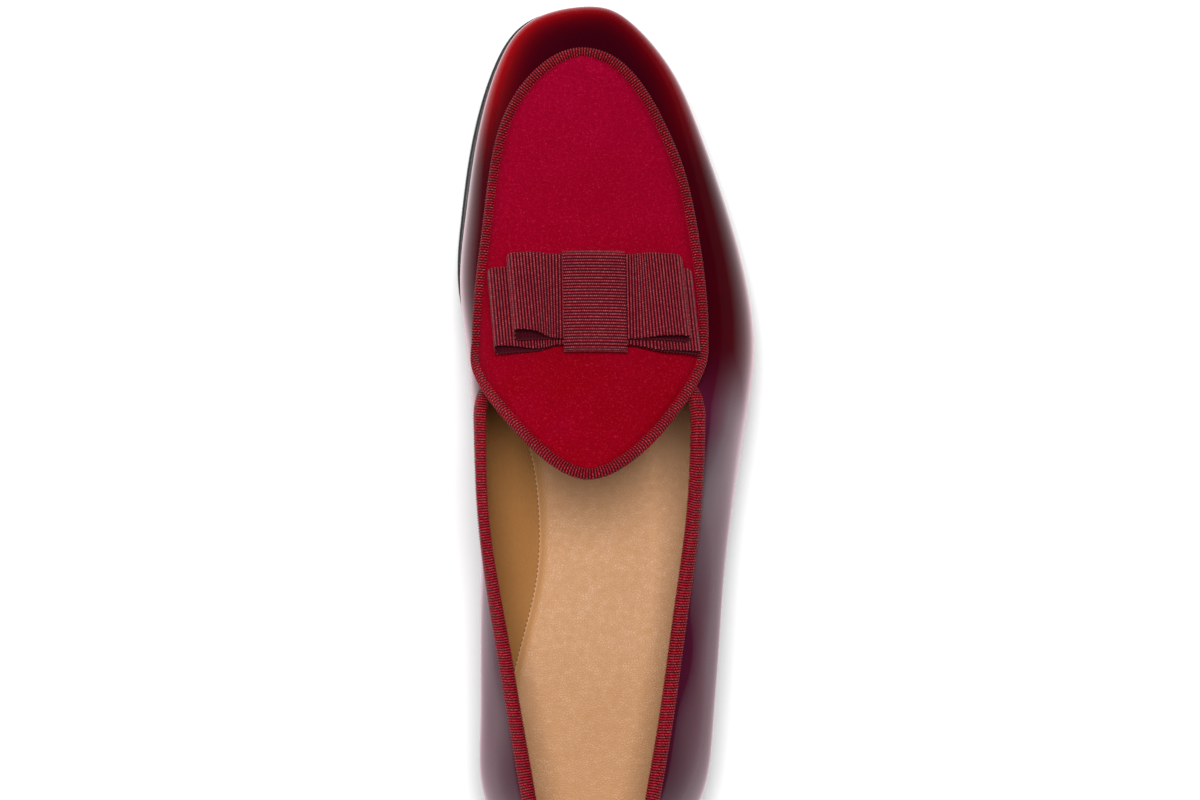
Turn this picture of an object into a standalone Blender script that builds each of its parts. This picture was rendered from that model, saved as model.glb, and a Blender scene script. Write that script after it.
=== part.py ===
"""A right-foot Belgian loafer as an assembly of separate solids.

The tables hold millimetres, with x across from the shoe's centre line (+ is the little-toe side),
y along it from mid length (+ is the toe) and z up from the floor. MM turns them into metres.
"""

import math
from collections import namedtuple

import bpy
import numpy as np
from mathutils import Vector

MM = 0.001
CENTRE_SHIFT = (-5.0, 0.0)  # from the centre line to the middle of the shoe's box

# Driving dimensions
HALF_LENGTH = 145.0
SOLE_THICKNESS = 4.5
HEEL_HEIGHT = 11.0
TOP_PIECE_THICKNESS = 4.0
TOE_SPRING = 9.0
TREAD_FRONT_Y = 62.0
TREAD_BACK_Y = 22.0
HEEL_BREAST_Y, BREAST_HOLLOW = -86.0, 3.0
HEEL_STEPS, BREAST_STEPS = 29, 9
UPPER_WALL = 1.8
INSOLE_THICKNESS, INSOLE_CLEARANCE = 2.4, 0.55
PLUG_THICKNESS = 1.6
GAP = 0.3

# One row per rib of the last, toe to heel. Each rib runs from the widest outline (x, y) inwards to
# the point `spine` on the centre line. tuck is how far the feather edge lies inside the outline,
# belly the height of the widest point above it, square the arch's fullness, edge the inset of the
# sole's edge, and top the height of the topline where the rib reaches the opening.
Side = namedtuple("Side", "x y tuck belly square edge top")
Rib = namedtuple("Rib", "name spine outer inner")
RIBS = [
    Rib("toe_tip", 117, Side(0, 145, 2.6, 8.5, 2.2, 0.2, 60), Side(0, 145, 2.6, 8.5, 2.2, 0.2, 60)),
    Rib("toe_corner", 116, Side(11.6, 141.3, 2.8, 9, 2.2, 0.9, 60), Side(-17.0, 141.7, 2.4, 9, 2.2, -1.2, 60)),
    Rib("toe_side", 110, Side(25.5, 126.5, 3.2, 10, 2.2, 1.5, 60), Side(-30.3, 127.1, 2.0, 10, 2.2, -1.8, 60)),
    Rib("toe_root", 97, Side(35.3, 107, 3.6, 11, 2.15, 1.7, 60), Side(-37.5, 104, 1.8, 11, 2.25, -2.1, 60)),
    Rib("fore", 75, Side(46.3, 76, 4.0, 12.5, 2.1, 1.8, 60), Side(-42.0, 75, 1.8, 12, 2.35, -2.1, 60)),
    Rib("ball", 50, Side(52.8, 51, 4.2, 14, 2.1, 1.9, 60), Side(-43.8, 50, 2.2, 13.5, 2.55, -1.2, 60)),
    Rib("joint", 28, Side(55.0, 29, 4.4, 15.5, 2.1, 2.1, 60), Side(-41.2, 28, 5.0, 16, 2.7, 3.4, 60)),
    Rib("instep", 4, Side(52.0, 4, 4.8, 17, 2.1, 2.3, 59), Side(-39.0, 4, 17.5, 24, 2.85, 16.3, 60)),
    Rib("waist", -22, Side(47.8, -22, 5.0, 18, 2.1, 2.5, 56), Side(-36.9, -22, 21.5, 28, 2.85, 20.3, 58)),
    Rib("arch", -48, Side(44.6, -48, 5.0, 18, 2.1, 2.6, 54), Side(-36.3, -48, 20.3, 27, 2.6, 19.1, 56)),
    Rib("quarter", -74, Side(42.7, -74, 5.0, 17, 2.1, 2.6, 55), Side(-36.4, -74, 13.5, 22, 2.4, 12.3, 56)),
    Rib("counter", -95, Side(41.0, -97, 5.0, 16, 2.1, 2.6, 58), Side(-36.7, -97, 8.0, 18, 2.2, 6.4, 59)),
    Rib("heel_side", -107, Side(37.3, -119.5, 4.8, 15, 2.1, 2.5, 61), Side(-35.4, -119.5, 5.2, 15.5, 2.1, 3.0, 61)),
    Rib("heel_corner", -112, Side(20.3, -140, 4.4, 15, 2.1, 2.2, 63.5), Side(-19.8, -140, 4.4, 15, 2.1, 2.2, 63.5)),
    Rib("heel_back", -113, Side(0, -145, 4.2, 15, 2.1, 2.1, 64.5), Side(0, -145, 4.2, 15, 2.1, 2.1, 64.5)),
]

# By y: the height of the closed last's ridge above the floor, half the width of the opening, and
# how far the opening's middle lies from the centre line
CROWN = [(150, 32), (135, 34.2), (117, 37), (97, 41.2), (75, 47.3), (50, 55.5),
         (28, 63.8), (4, 73), (-22, 81), (-48, 87), (-120, 98)]
OPENING = [(40, 35.6), (10, 35.6), (-29, 34.2), (-50, 31.1),
           (-70, 27.7), (-93, 24.0), (-115, 20.2), (-140, 16.8)]
OPENING_MIDDLE = [(40, -1.0), (0, -1.0), (-29, -1.0), (-50, -0.8), (-70, -0.3), (-93, 0.1), (-140, 0.2)]
THROAT_Y, THROAT_ROUND = 32.0, 25.0
OPENING_BACK_Y, BACK_ROUND = -139.0, 19.0
OPEN_FROM_Y, OPEN_FULLY_Y = 8.0, -30.0  # the walls change from the arch's shape to the quarters'
QUARTER_LEAN = 1.7

# Outer edge of the apron's binding, seen from above, going round by the little-toe side
APRON_OUTER = [(6.6, 127.3), (14.0, 121.3), (19.4, 114), (24.9, 103.6), (30.1, 91), (34.6, 72), (37.8, 48),
               (38.3, 33), (37.3, 25), (34.2, 17.6), (28.2, 8.4), (21.0, -0.4), (13.6, -7.2), (6.4, -11.7)]
APRON_INNER = [(-11.4, 127.3), (-19.2, 121.3), (-24.9, 114), (-29.7, 103.6), (-32.6, 91), (-34.9, 72), (-37.5, 48),
               (-38.2, 33), (-37.6, 25), (-34.9, 17.6), (-28.6, 8.2), (-21.2, -0.6), (-14.2, -7.2), (-7.2, -11.7)]
APRON_FRONT, APRON_BACK = (-2.6, 129.6), (-0.4, -13.3)
BINDING_WIDTH, BINDING_HEIGHT = 3.7, 2.6
BINDING_LEG, TOPLINE_BINDING_FROM_Y = 3.4, 20.0
TAB_LIFT, TAB_LIFT_FROM_Y, TAB_LIFT_TO_Y = 1.1, 34.0, 22.0

# The flat ribbon bow, in its own frame on the apron
BOW_Y = 43.9
RIBBON_WIDTH, RIBBON_THICKNESS = 28.0, 0.7
KNOT_CENTRE, KNOT_WIDTH, KNOT_SLACK = 1.5, 20.6, 0.65
Loop = namedtuple("Loop", "name left right base_in base_out top_in top_out slide_in slide_out")
LOOPS = [
    Loop("bow_lower_loops", -32.3, 34.2, 1.65, 1.4, 2.65, 3.3, 0.9, 2.4),
    Loop("bow_upper_loops", -25.6, 31.1, 3.65, 4.5, 4.65, 7.8, -0.4, -0.4),
]
LOOP_TURN, LOOP_RISE = 1.8, 11.0
BOW_DROOP, BOW_HALF = 5.2, 35.0  # how far the bow's ends hang below its middle


def smooth_curve(knots, values, period=None):
    """A cubic with an even bend through the rows, natural at its ends or closed over a period."""
    t, v = np.array(knots, float), np.array(values, float)
    if period:
        t, v = np.append(t, t[0] + period), np.append(v, v[0])
    h = np.diff(t)
    slope = np.diff(v) / h
    last = len(t) - 1
    matrix, right = np.zeros((last + 1, last + 1)), np.zeros(last + 1)
    for i in range(1, last):
        matrix[i, i - 1 : i + 2] = h[i - 1], 2 * (h[i - 1] + h[i]), h[i]
        right[i] = 6 * (slope[i] - slope[i - 1])
    matrix[0, 0] = matrix[last, last] = 1
    if period:
        matrix[0, [0, 1, last - 1]] = 2 * (h[0] + h[-1]), h[0], h[-1]
        right[0] = 6 * (slope[0] - slope[-1])
        matrix[last, 0] = -1
    bend = np.linalg.solve(matrix, right)

    def at(s):
        s = np.asarray(s, float)
        if period:
            s = t[0] + (s - t[0]) % period
        i = np.clip(np.searchsorted(t, s, side="right") - 1, 0, last - 1)
        a, b = (t[i + 1] - s) / h[i], (s - t[i]) / h[i]
        return a * v[i] + b * v[i + 1] + ((a**3 - a) * bend[i] + (b**3 - b) * bend[i + 1]) * h[i] ** 2 / 6

    return at


def by_y(rows):
    """A smooth curve of the second column over the first, which runs down from the toe."""
    rows = sorted(rows)
    return smooth_curve([r[0] for r in rows], [r[1] for r in rows])


def smooth_step(x, start, end):
    """0 at start, 1 at end, and even in between."""
    t = np.clip((np.asarray(x, float) - start) / (end - start), 0, 1)
    return t * t * (3 - 2 * t)


class Last:
    """The foot form: u runs once round it, from the toe (0) by the little-toe side to the heel (0.5) and back."""

    def __init__(self):
        outer = [r.outer for r in RIBS]
        inner = [r.inner for r in RIBS[-2:0:-1]]
        chords = [
            (math.dist(a.outer[:2], b.outer[:2]) + math.dist(a.inner[:2], b.inner[:2])) / 2
            for a, b in zip(RIBS, RIBS[1:])
        ]
        half = np.concatenate([[0], np.cumsum(chords)]) / (2 * sum(chords))
        knots = np.concatenate([half, 1 - half[-2:0:-1]])
        spines = [r.spine for r in RIBS] + [r.spine for r in RIBS[-2:0:-1]]
        self.spine = smooth_curve(knots, spines, 1.0)
        for column in Side._fields:
            setattr(self, column, smooth_curve(knots, [getattr(s, column) for s in outer + inner], 1.0))
        self.crown = by_y(CROWN)
        self.opening = by_y(OPENING)
        self.opening_middle = by_y(OPENING_MIDDLE)

    def half_opening(self, y):
        """Half the opening's width at y, rounded off at the throat and the heel."""
        front = np.clip((THROAT_Y - y) / THROAT_ROUND, 0, 1)
        back = np.clip((y - OPENING_BACK_Y) / BACK_ROUND, 0, 1)
        return self.opening(y) * np.sqrt(1 - (1 - front) ** 2) * np.sqrt(1 - (1 - back) ** 2)

    def rib(self, u):
        """The rib's outline point, its unit direction inwards, and its length, in plan."""
        x, y = self.x(u), self.y(u)
        dx, dy = -x, self.spine(u) - y
        length = np.hypot(dx, dy)
        return x, y, dx / length, dy / length, length

    def reach(self, u):
        """How far in from the outline the rib meets the opening, or the spine where it doesn't."""
        x, y, dx, dy, length = self.rib(u)
        low, high = np.zeros_like(length), length.copy()
        for _ in range(40):
            middle = (low + high) / 2
            px, py = x + dx * middle, y + dy * middle
            across = np.abs(px - self.opening_middle(py))
            inside = (across < self.half_opening(py)) & (py < THROAT_Y) & (py > OPENING_BACK_Y)
            high, low = np.where(inside, middle, high), np.where(inside, low, middle)
        return high

    def point(self, u, t, closed=False):
        """A point of the outside: t is -1 at the feather edge, 0 at the widest and 1 at the topline or ridge."""
        x, y, dx, dy, length = self.rib(u)
        tuck, belly, power = self.tuck(u), self.belly(u), self.square(u)
        feather = feather_z(y + dy * tuck)
        below = np.clip(-t, 0, 1)
        above = np.clip(t, 0, 1)
        reach = length if closed else self.reach(u)
        angle = above * np.arccos(np.clip(1 - reach / length, 0, 1) ** (power / 2))
        inset = length * (1 - np.cos(angle) ** (2 / power))
        crown = self.crown(y + dy * inset)
        height = (crown - feather - belly) * np.sin(angle) ** (2 / power)
        if not closed:
            share = smooth_step(y, OPEN_FROM_Y, OPEN_FULLY_Y)
            inset = inset * (1 - share) + share * reach * above**QUARTER_LEAN
            height = height * (1 - share) + share * (self.top(u) - feather - belly) * above
        inset = inset + tuck * below**2
        return np.stack([x + dx * inset, y + dy * inset, feather + belly * (1 - below) + height], axis=-1)

    def over(self, x, y):
        """Height of the closed last over a point in plan."""
        x, y = np.asarray(x, float), np.asarray(y, float)
        x = np.where(np.abs(x) < 1e-4, 1e-4, x)
        low, high = np.where(x > 0, 0.0, 1.0), np.full_like(x, 0.5)
        for _ in range(40):
            u = (low + high) / 2
            ox, oy, spine = self.x(u), self.y(u), self.spine(u)
            ahead = (x * (oy - spine) - (y - spine) * ox) * np.sign(x) > 0
            low, high = np.where(ahead, u, low), np.where(ahead, high, u)
        power, belly = self.square(u), self.belly(u)
        length = np.hypot(ox, oy - spine)
        q = np.clip(np.hypot(x, y - spine) / length, 0, 1)
        feather = feather_z(oy + (spine - oy) / length * self.tuck(u))
        return feather + belly + (self.crown(y) - feather - belly) * (1 - q**power) ** (1 / power)

    def normal_over(self, x, y, step=0.4):
        """Unit normals of the closed last over points in plan."""
        gx = (self.over(x + step, y) - self.over(x - step, y)) / (2 * step)
        gy = (self.over(x, y + step) - self.over(x, y - step)) / (2 * step)
        n = np.stack([-gx, -gy, np.ones_like(gx)], axis=-1)
        return n / np.linalg.norm(n, axis=-1, keepdims=True)


def under_z(y):
    """Height of the sole's underside: toe spring, flat tread, arch and level heel seat."""
    spring = TOE_SPRING * np.clip((y - TREAD_FRONT_Y) / (HALF_LENGTH - TREAD_FRONT_Y), 0, None) ** 2
    return spring + HEEL_HEIGHT * smooth_step(y, TREAD_BACK_Y, HEEL_BREAST_Y)


def feather_z(y):
    """Height of the feather edge, where the upper meets the sole."""
    return under_z(y) + SOLE_THICKNESS


def facing_out(verts, faces):
    """The faces of a closed body, all turned round if they point inwards."""
    points = np.array(verts, float)
    volume = sum(
        np.dot(points[f[0]], np.cross(points[f[i]], points[f[i + 1]])) for f in faces for i in range(1, len(f) - 1)
    )
    return faces if volume > 0 else [tuple(f)[::-1] for f in faces]


def make_object(name, verts, faces, material, wall=None):
    """An object from points in millimetres; wall thickens an open sheet, outwards when it is positive."""
    if wall is None:
        faces = facing_out(verts, faces)
    shift = Vector((*CENTRE_SHIFT, 0))
    mesh = bpy.data.meshes.new(name)
    mesh.from_pydata([(Vector(v) + shift) * MM for v in verts], [], faces)
    mesh.validate()
    obj = bpy.data.objects.new(name, mesh)
    bpy.context.scene.collection.objects.link(obj)
    if wall:
        solidify = obj.modifiers.new("wall", "SOLIDIFY")
        solidify.thickness = abs(wall) * MM
        solidify.offset = math.copysign(1, wall)
        solidify.use_even_offset = True
    mesh.shade_smooth()
    mesh.set_sharp_from_angle(angle=math.radians(40))
    mesh.materials.append(material)
    return obj


def make_material(name, colour, roughness, metallic=0.0):
    """A plain Principled finish."""
    material = bpy.data.materials.new(name)
    material.use_nodes = True
    shader = material.node_tree.nodes["Principled BSDF"]
    shader.inputs["Base Color"].default_value = (*colour, 1)
    shader.inputs["Roughness"].default_value = roughness
    shader.inputs["Metallic"].default_value = metallic
    return material


def grid_faces(rows, columns, closed_rows=False, closed_columns=False):
    """Quads of a rows by columns grid, the last row or column joined to the first where closed."""
    faces = []
    for i in range(rows if closed_rows else rows - 1):
        for j in range(columns if closed_columns else columns - 1):
            k, m = (i + 1) % rows, (j + 1) % columns
            faces.append((i * columns + j, k * columns + j, k * columns + m, i * columns + m))
    return faces


def welded(verts, faces, within=1e-3):
    """Points this close made one, and faces that fold up dropped to triangles or left out."""
    keys, first, index = {}, [], []
    for v in verts:
        key = tuple(round(float(c) / within) for c in v)
        index.append(keys.setdefault(key, len(keys)))
        if len(keys) > len(first):
            first.append(v)
    out = []
    for face in faces:
        corners = list(dict.fromkeys(index[i] for i in face))
        if len(corners) > 2:
            out.append(corners)
    return first, out


def stations(last):
    """u of each rib from toe to heel on the little-toe side, closer together at the toe, throat and heel."""
    fine = np.linspace(0, 0.5, 2001)
    spine = last.spine(fine)
    throat = THROAT_Y - THROAT_ROUND * (1 - np.cos(np.linspace(0, math.pi / 2, 9)))
    fore = np.interp(-throat[0], -spine, fine)
    after = np.interp(-throat[-1], -spine, fine)
    return np.concatenate([
        np.linspace(0, fore, 20)[:-1],
        np.interp(-throat, -spine, fine),
        np.linspace(after, 0.5, 20)[1:],
    ])


def build_upper(last, material):
    """Vamp and quarters as one shell, open at the topline and underneath."""
    heights = np.concatenate([np.linspace(-1, 0, 4), np.linspace(0, 1, 10)[1:]])
    verts, faces = [], []
    around = ring_values(last)
    for u in around:
        verts.extend(last.point(np.full_like(heights, u), heights))
    verts = np.array(verts)
    verts[:: len(heights), 2] += GAP
    faces = grid_faces(len(around), len(heights), closed_rows=True)
    verts, faces = welded(verts, faces)
    return make_object("upper", verts, [f[::-1] for f in faces], material, wall=-UPPER_WALL)


def plate(last, inset, z_low, z_high):
    """Points and faces of a flat-sided plate whose edge lies `inset(u)` inside the last's outline."""
    u = ring_values(last)
    x, y, dx, dy, length = last.rib(u)
    rings = []
    for share in (0, 0.6, 1):
        run = length + (inset(u) - length) * share
        rings.append(np.stack([x + dx * run, y + dy * run], axis=-1))
    low = [(px, py, z_low(py)) for ring in rings for px, py in ring]
    high = [(px, py, z_high(py)) for ring in rings[::-1] for px, py in ring]
    return welded(low + high, grid_faces(2 * len(rings), len(u), closed_columns=True))


def ring_values(last):
    """u of the ribs all the way round."""
    half = stations(last)
    return np.concatenate([half, 1 - half[-2:0:-1]])


def build_outsole(last, material):
    """The leather sole, with toe spring, tread, arch and heel seat."""
    verts, faces = plate(last, last.edge, under_z, feather_z)
    return make_object("outsole", verts, faces, material)


def build_insole(last, material):
    """The sock and insole board, between the upper's walls."""

    def edge(u):
        return last.tuck(u) + UPPER_WALL + INSOLE_CLEARANCE

    def low(y):
        return feather_z(y) + GAP

    def high(y):
        return low(y) + INSOLE_THICKNESS

    verts, faces = plate(last, edge, low, high)
    return make_object("insole", verts, faces, material)


def build_heel(last, name, low, high, taper, material):
    """One slice of the heel, from the back of the seat to a gently hollow breast."""
    around = np.linspace(0, 1, 1001)
    x, y, dx, dy, _ = last.rib(around)
    edge = last.edge(around) + taper
    px, py = x + dx * edge, y + dy * edge
    behind = np.flatnonzero(py < HEEL_BREAST_Y)
    chosen = behind[np.linspace(0, len(behind) - 1, HEEL_STEPS).round().astype(int)]
    loop = [(px[i], py[i]) for i in chosen]
    (x0, y0), (x1, y1) = loop[-1], loop[0]
    for share in np.linspace(0, 1, BREAST_STEPS)[1:-1]:
        hollow = BREAST_HOLLOW * 4 * share * (1 - share)
        loop.append((x0 + (x1 - x0) * share, y0 + (y1 - y0) * share - hollow))
    count = len(loop)
    verts = [(*p, low) for p in loop] + [(*p, high) for p in loop]
    faces = [tuple(range(count)), tuple(range(count, 2 * count))[::-1]]
    faces += [(i, count + i, count + (i + 1) % count, (i + 1) % count) for i in range(count)]
    return make_object(name, verts, faces, material)


class Apron:
    """The suede apron's outline in plan, and its height over the last."""

    def __init__(self, last):
        self.last = last
        loop = [APRON_FRONT, *APRON_OUTER, APRON_BACK, *APRON_INNER[::-1]]
        half = len(APRON_OUTER) + 1
        pairs = [
            (math.dist(loop[i], loop[i + 1]) + math.dist(loop[-i], loop[-i - 1])) / 2 for i in range(half)
        ]
        knots = np.concatenate([[0], np.cumsum(pairs)]) / (2 * sum(pairs))
        knots = np.concatenate([knots, 1 - knots[-2:0:-1]])
        self.x = smooth_curve(knots, [p[0] for p in loop], 1.0)
        self.y = smooth_curve(knots, [p[1] for p in loop], 1.0)

    def edge(self, u, inset):
        """The outline in plan, moved inwards."""
        step = 1e-4
        tx = self.x(u + step) - self.x(u - step)
        ty = self.y(u + step) - self.y(u - step)
        size = np.hypot(tx, ty)
        return self.x(u) + ty / size * inset, self.y(u) - tx / size * inset

    def lift(self, y):
        """Gap over the last, wider where the tab rides over the topline's binding."""
        return GAP + TAB_LIFT * smooth_step(y, TAB_LIFT_FROM_Y, TAB_LIFT_TO_Y)

    def surface(self, x, y, above=0.0):
        """Points over the last at the apron's underside, or above it along the normal."""
        n = self.last.normal_over(x, y)
        base = np.stack([x, y, self.last.over(x, y)], axis=-1)
        return base + n * (self.lift(y) + above)[..., None]


def build_apron(apron, material):
    """The suede apron, running on past the throat as a free tab."""
    inset = BINDING_WIDTH + GAP
    rows, columns = 36, 13
    across = np.sin(np.linspace(-math.pi / 2, math.pi / 2, columns)) / 2 + 0.5
    sweep = (1 - np.cos(np.linspace(0, math.pi, rows))) / 4
    verts = []
    for u in 0.5 * (sweep + np.linspace(0, 0.5, rows)):
        ax, ay = apron.edge(1 - u, inset)
        bx, by = apron.edge(u, inset)
        x, y = ax + (bx - ax) * across, ay + (by - ay) * across
        verts.extend(apron.surface(x, y))
    faces = grid_faces(rows, columns)
    verts, faces = welded(verts, faces)
    return make_object("apron", verts, faces, material, wall=PLUG_THICKNESS)


def unit(v):
    """Vectors scaled to length 1."""
    return v / np.linalg.norm(v, axis=-1, keepdims=True)


def build_apron_binding(apron, material):
    """The grosgrain folded round the apron's edge, as a ridge with a round top."""
    half, high = BINDING_WIDTH / 2, BINDING_HEIGHT
    dome = [(half, 0.5 * high), (0.62 * half, 0.88 * high), (0, high)]
    section = [(-half, 0), (half, 0), *dome, *((-a, b) for a, b in dome[1::-1])]
    u = np.linspace(0, 1, 85)[:-1]
    x, y = apron.edge(u, half)
    centres = apron.surface(x, y)
    normals = apron.last.normal_over(x, y)
    along = unit(np.roll(centres, -1, axis=0) - np.roll(centres, 1, axis=0))
    sides = unit(np.cross(along, normals))
    rings = [centres + sides * a + normals * b for a, b in section]
    verts = np.stack(rings, axis=1).reshape(-1, 3)
    faces = grid_faces(len(u), len(section), closed_rows=True, closed_columns=True)
    return make_object("apron_binding", verts, faces, material)


def wall_frame(last, u, t):
    """Points of the upper's outside with its outward normals and the directions up the wall."""
    here = last.point(u, t)
    rise = unit(last.point(u, t + 0.01) - last.point(u, t - 0.01))
    along = unit(last.point(u + 1e-3, t) - last.point(u - 1e-3, t))
    out = unit(np.cross(rise, along))
    return here, out, rise


def build_topline_binding(last, material):
    """The grosgrain folded over the topline, from under one apron corner round the heel to the other."""
    u = ring_values(last)
    u = u[last.y(u) < TOPLINE_BINDING_FROM_Y]
    full = np.ones_like(u)
    _, out, rise = wall_frame(last, u, 0.99 * full)
    top = last.point(u, full)
    height = np.linalg.norm(top - last.point(u, 0.9 * full), axis=-1) / 0.1
    foot, foot_out, _ = wall_frame(last, u, 1 - BINDING_LEG / height)
    outside, inside = GAP, -UPPER_WALL - GAP
    parts = [
        [foot + foot_out * outside, foot + foot_out * (outside + RIBBON_THICKNESS)],
        [top + out * (outside + RIBBON_THICKNESS) + rise * 0.4],
        [top + out * outside * 0.7 + rise * (GAP + RIBBON_THICKNESS)],
        [top + out * (inside + 0.1) + rise * (GAP + RIBBON_THICKNESS)],
        [top + out * (inside - RIBBON_THICKNESS) + rise * 0.4],
        [foot + foot_out * (inside - RIBBON_THICKNESS), foot + foot_out * inside],
        [top + out * inside + rise * GAP, top + out * outside + rise * GAP],
    ]
    columns = [line for part in parts for line in part]
    verts = np.stack(columns, axis=1).reshape(-1, 3)
    rows, count = len(u), len(columns)
    faces = grid_faces(rows, count, closed_columns=True)
    faces += [tuple(range(count)), tuple(range((rows - 1) * count, rows * count))[::-1]]
    return make_object("topline_binding", verts, faces, material)


def on_bow(apron, across, back, out):
    """Points of the bow: across from the apron's ridge, back from the bow's middle and out from the suede."""
    x, y = np.zeros_like(back), BOW_Y - back
    out = out - BOW_DROOP * (across / BOW_HALF) ** 2
    points = apron.surface(x, y, PLUG_THICKNESS) + apron.last.normal_over(x, y) * out[..., None]
    points[..., 0] += across
    return points


def free_share(across):
    """0 where the ribbon lies under the knot, 1 where it is free of it."""
    return smooth_step(abs(across - KNOT_CENTRE), KNOT_WIDTH / 2 + 0.6, KNOT_WIDTH / 2 + LOOP_RISE)


def loop_path(loop):
    """Middle line of one pair of flat loops, as (across, outwards), closed on itself."""

    def base(x):
        return loop.base_in + (loop.base_out - loop.base_in) * float(free_share(x))

    def top(x):
        return loop.top_in + (loop.top_out - loop.top_in) * float(free_share(x))

    middle, half = (loop.base_out + loop.top_out) / 2, (loop.top_out - loop.base_out) / 2
    turn = [(math.cos(s), math.sin(s)) for s in np.linspace(-math.pi / 2, math.pi / 2, 7)]
    run = np.linspace(loop.left + LOOP_TURN, loop.right - LOOP_TURN, 19)
    path = [(x, base(x)) for x in run[1:-1]]
    path += [(loop.right - LOOP_TURN * (1 - c), middle + half * s) for c, s in turn]
    path += [(x, top(x)) for x in run[-2:0:-1]]
    path += [(loop.left + LOOP_TURN * (1 - c), middle + half * s) for c, s in turn[::-1]]
    return path


def build_loops(apron, loop, material):
    """One length of ribbon closed into a left and a right loop, flat under the knot."""
    path = np.array(loop_path(loop))
    depths = np.linspace(-RIBBON_WIDTH / 2, RIBBON_WIDTH / 2, 4)
    across, back = np.meshgrid(path[:, 0], depths, indexing="ij")
    back = back + loop.slide_in + (loop.slide_out - loop.slide_in) * free_share(across)
    out = np.repeat(path[:, 1:], len(depths), axis=1)
    verts = on_bow(apron, across, back, out).reshape(-1, 3)
    faces = grid_faces(len(path), len(depths), closed_rows=True)
    obj = make_object(loop.name, verts, faces, material, wall=RIBBON_THICKNESS)
    obj.modifiers["wall"].offset = 0
    return obj


def build_knot(apron, material):
    """The band that wraps both pairs of loops at the middle."""
    low = GAP + RIBBON_THICKNESS / 2
    high = LOOPS[1].top_in + RIBBON_THICKNESS + GAP
    lower, upper = LOOPS[0].slide_in, LOOPS[1].slide_in
    reach = RIBBON_WIDTH / 2 + (lower - upper) / 2 + GAP + RIBBON_THICKNESS + KNOT_SLACK
    middle = (lower + upper) / 2 + KNOT_SLACK
    flat = np.linspace(-0.97, 0.97, 7)
    path = [(s, low) for s in flat] + [(1, low + 0.8), (1, high - 0.8)]
    path += [(-s, high) for s in flat] + [(-1, high - 0.8), (-1, low + 0.8)]
    path = np.array(path)
    widths = KNOT_CENTRE + KNOT_WIDTH * np.array([-0.5, 0, 0.5])
    back, across = np.meshgrid(path[:, 0] * reach + middle, widths, indexing="ij")
    out = np.repeat(path[:, 1:], len(widths), axis=1)
    verts = on_bow(apron, across, back, out).reshape(-1, 3)
    obj = make_object("bow_knot", verts, grid_faces(len(path), 3, closed_rows=True), material, wall=RIBBON_THICKNESS)
    obj.modifiers["wall"].offset = 0
    return obj


def main():
    for obj in list(bpy.data.objects):
        bpy.data.objects.remove(obj)
    leather = make_material("polished_leather", (0.16, 0.008, 0.02), 0.15)
    suede = make_material("suede", (0.4, 0.01, 0.045), 0.9)
    ribbon = make_material("grosgrain", (0.2, 0.02, 0.04), 0.7)
    lining = make_material("lining_leather", (0.55, 0.34, 0.17), 0.5)
    sole = make_material("sole_leather", (0.02, 0.018, 0.017), 0.4)
    rubber = make_material("rubber", (0.02, 0.02, 0.02), 0.7)
    last = Last()
    build_outsole(last, sole)
    build_heel(last, "heel_stack", TOP_PIECE_THICKNESS + GAP, HEEL_HEIGHT - GAP, 0.3, sole)
    build_heel(last, "heel_top_piece", 0.0, TOP_PIECE_THICKNESS, 0.6, rubber)
    build_insole(last, lining)
    build_upper(last, leather)
    apron = Apron(last)
    build_apron(apron, suede)
    build_apron_binding(apron, ribbon)
    build_topline_binding(last, ribbon)
    for loop in LOOPS:
        build_loops(apron, loop, ribbon)
    build_knot(apron, ribbon)


main()
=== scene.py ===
"""The finished look of a right-foot Belgian loafer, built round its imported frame.

The form's sizes are in millimetres, as on a last: x across (+ is the little-toe side), y along
(+ is the toe) and z up from the floor. Meshes are made in metres in the frame's own place.
"""

from __future__ import annotations

import logging
import math
from collections.abc import Callable, Sequence
from dataclasses import dataclass, field
from enum import Enum

import bpy
import numpy as np
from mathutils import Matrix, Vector

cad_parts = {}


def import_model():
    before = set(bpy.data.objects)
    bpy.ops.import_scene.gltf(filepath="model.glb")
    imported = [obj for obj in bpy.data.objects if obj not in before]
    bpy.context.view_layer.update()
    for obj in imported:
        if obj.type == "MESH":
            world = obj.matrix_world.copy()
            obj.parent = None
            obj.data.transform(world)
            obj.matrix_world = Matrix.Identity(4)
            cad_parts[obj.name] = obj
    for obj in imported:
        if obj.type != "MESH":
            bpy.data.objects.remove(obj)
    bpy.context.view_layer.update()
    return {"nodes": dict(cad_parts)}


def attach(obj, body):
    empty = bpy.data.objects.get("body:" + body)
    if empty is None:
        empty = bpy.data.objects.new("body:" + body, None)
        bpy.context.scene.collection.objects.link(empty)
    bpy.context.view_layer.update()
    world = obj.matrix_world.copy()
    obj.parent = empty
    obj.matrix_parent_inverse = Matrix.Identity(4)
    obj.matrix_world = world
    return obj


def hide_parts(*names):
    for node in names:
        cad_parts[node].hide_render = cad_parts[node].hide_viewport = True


LOG = logging.getLogger("loafer")
MM = 0.001
BODY = "root"
WALL = 1.8  # thickness of the upper's leather and lining together
GAP = 0.3  # air between neighbouring pieces
BINDING_RIB = 0.87  # from one rib to the next on the two bindings
BOW_RIB = 1.0  # the same on the bow's wider ribbon
Array = np.ndarray
Curve = Callable[[Array], Array]


class Finish(Enum):
    """The record's material slots; some pieces carry one, but nothing here reads it."""

    POLISHED_LEATHER = "polished_leather"
    SUEDE = "suede"
    GROSGRAIN = "grosgrain"
    LINING_LEATHER = "lining_leather"
    SOLE_LEATHER = "sole_leather"
    RUBBER = "rubber"


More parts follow.
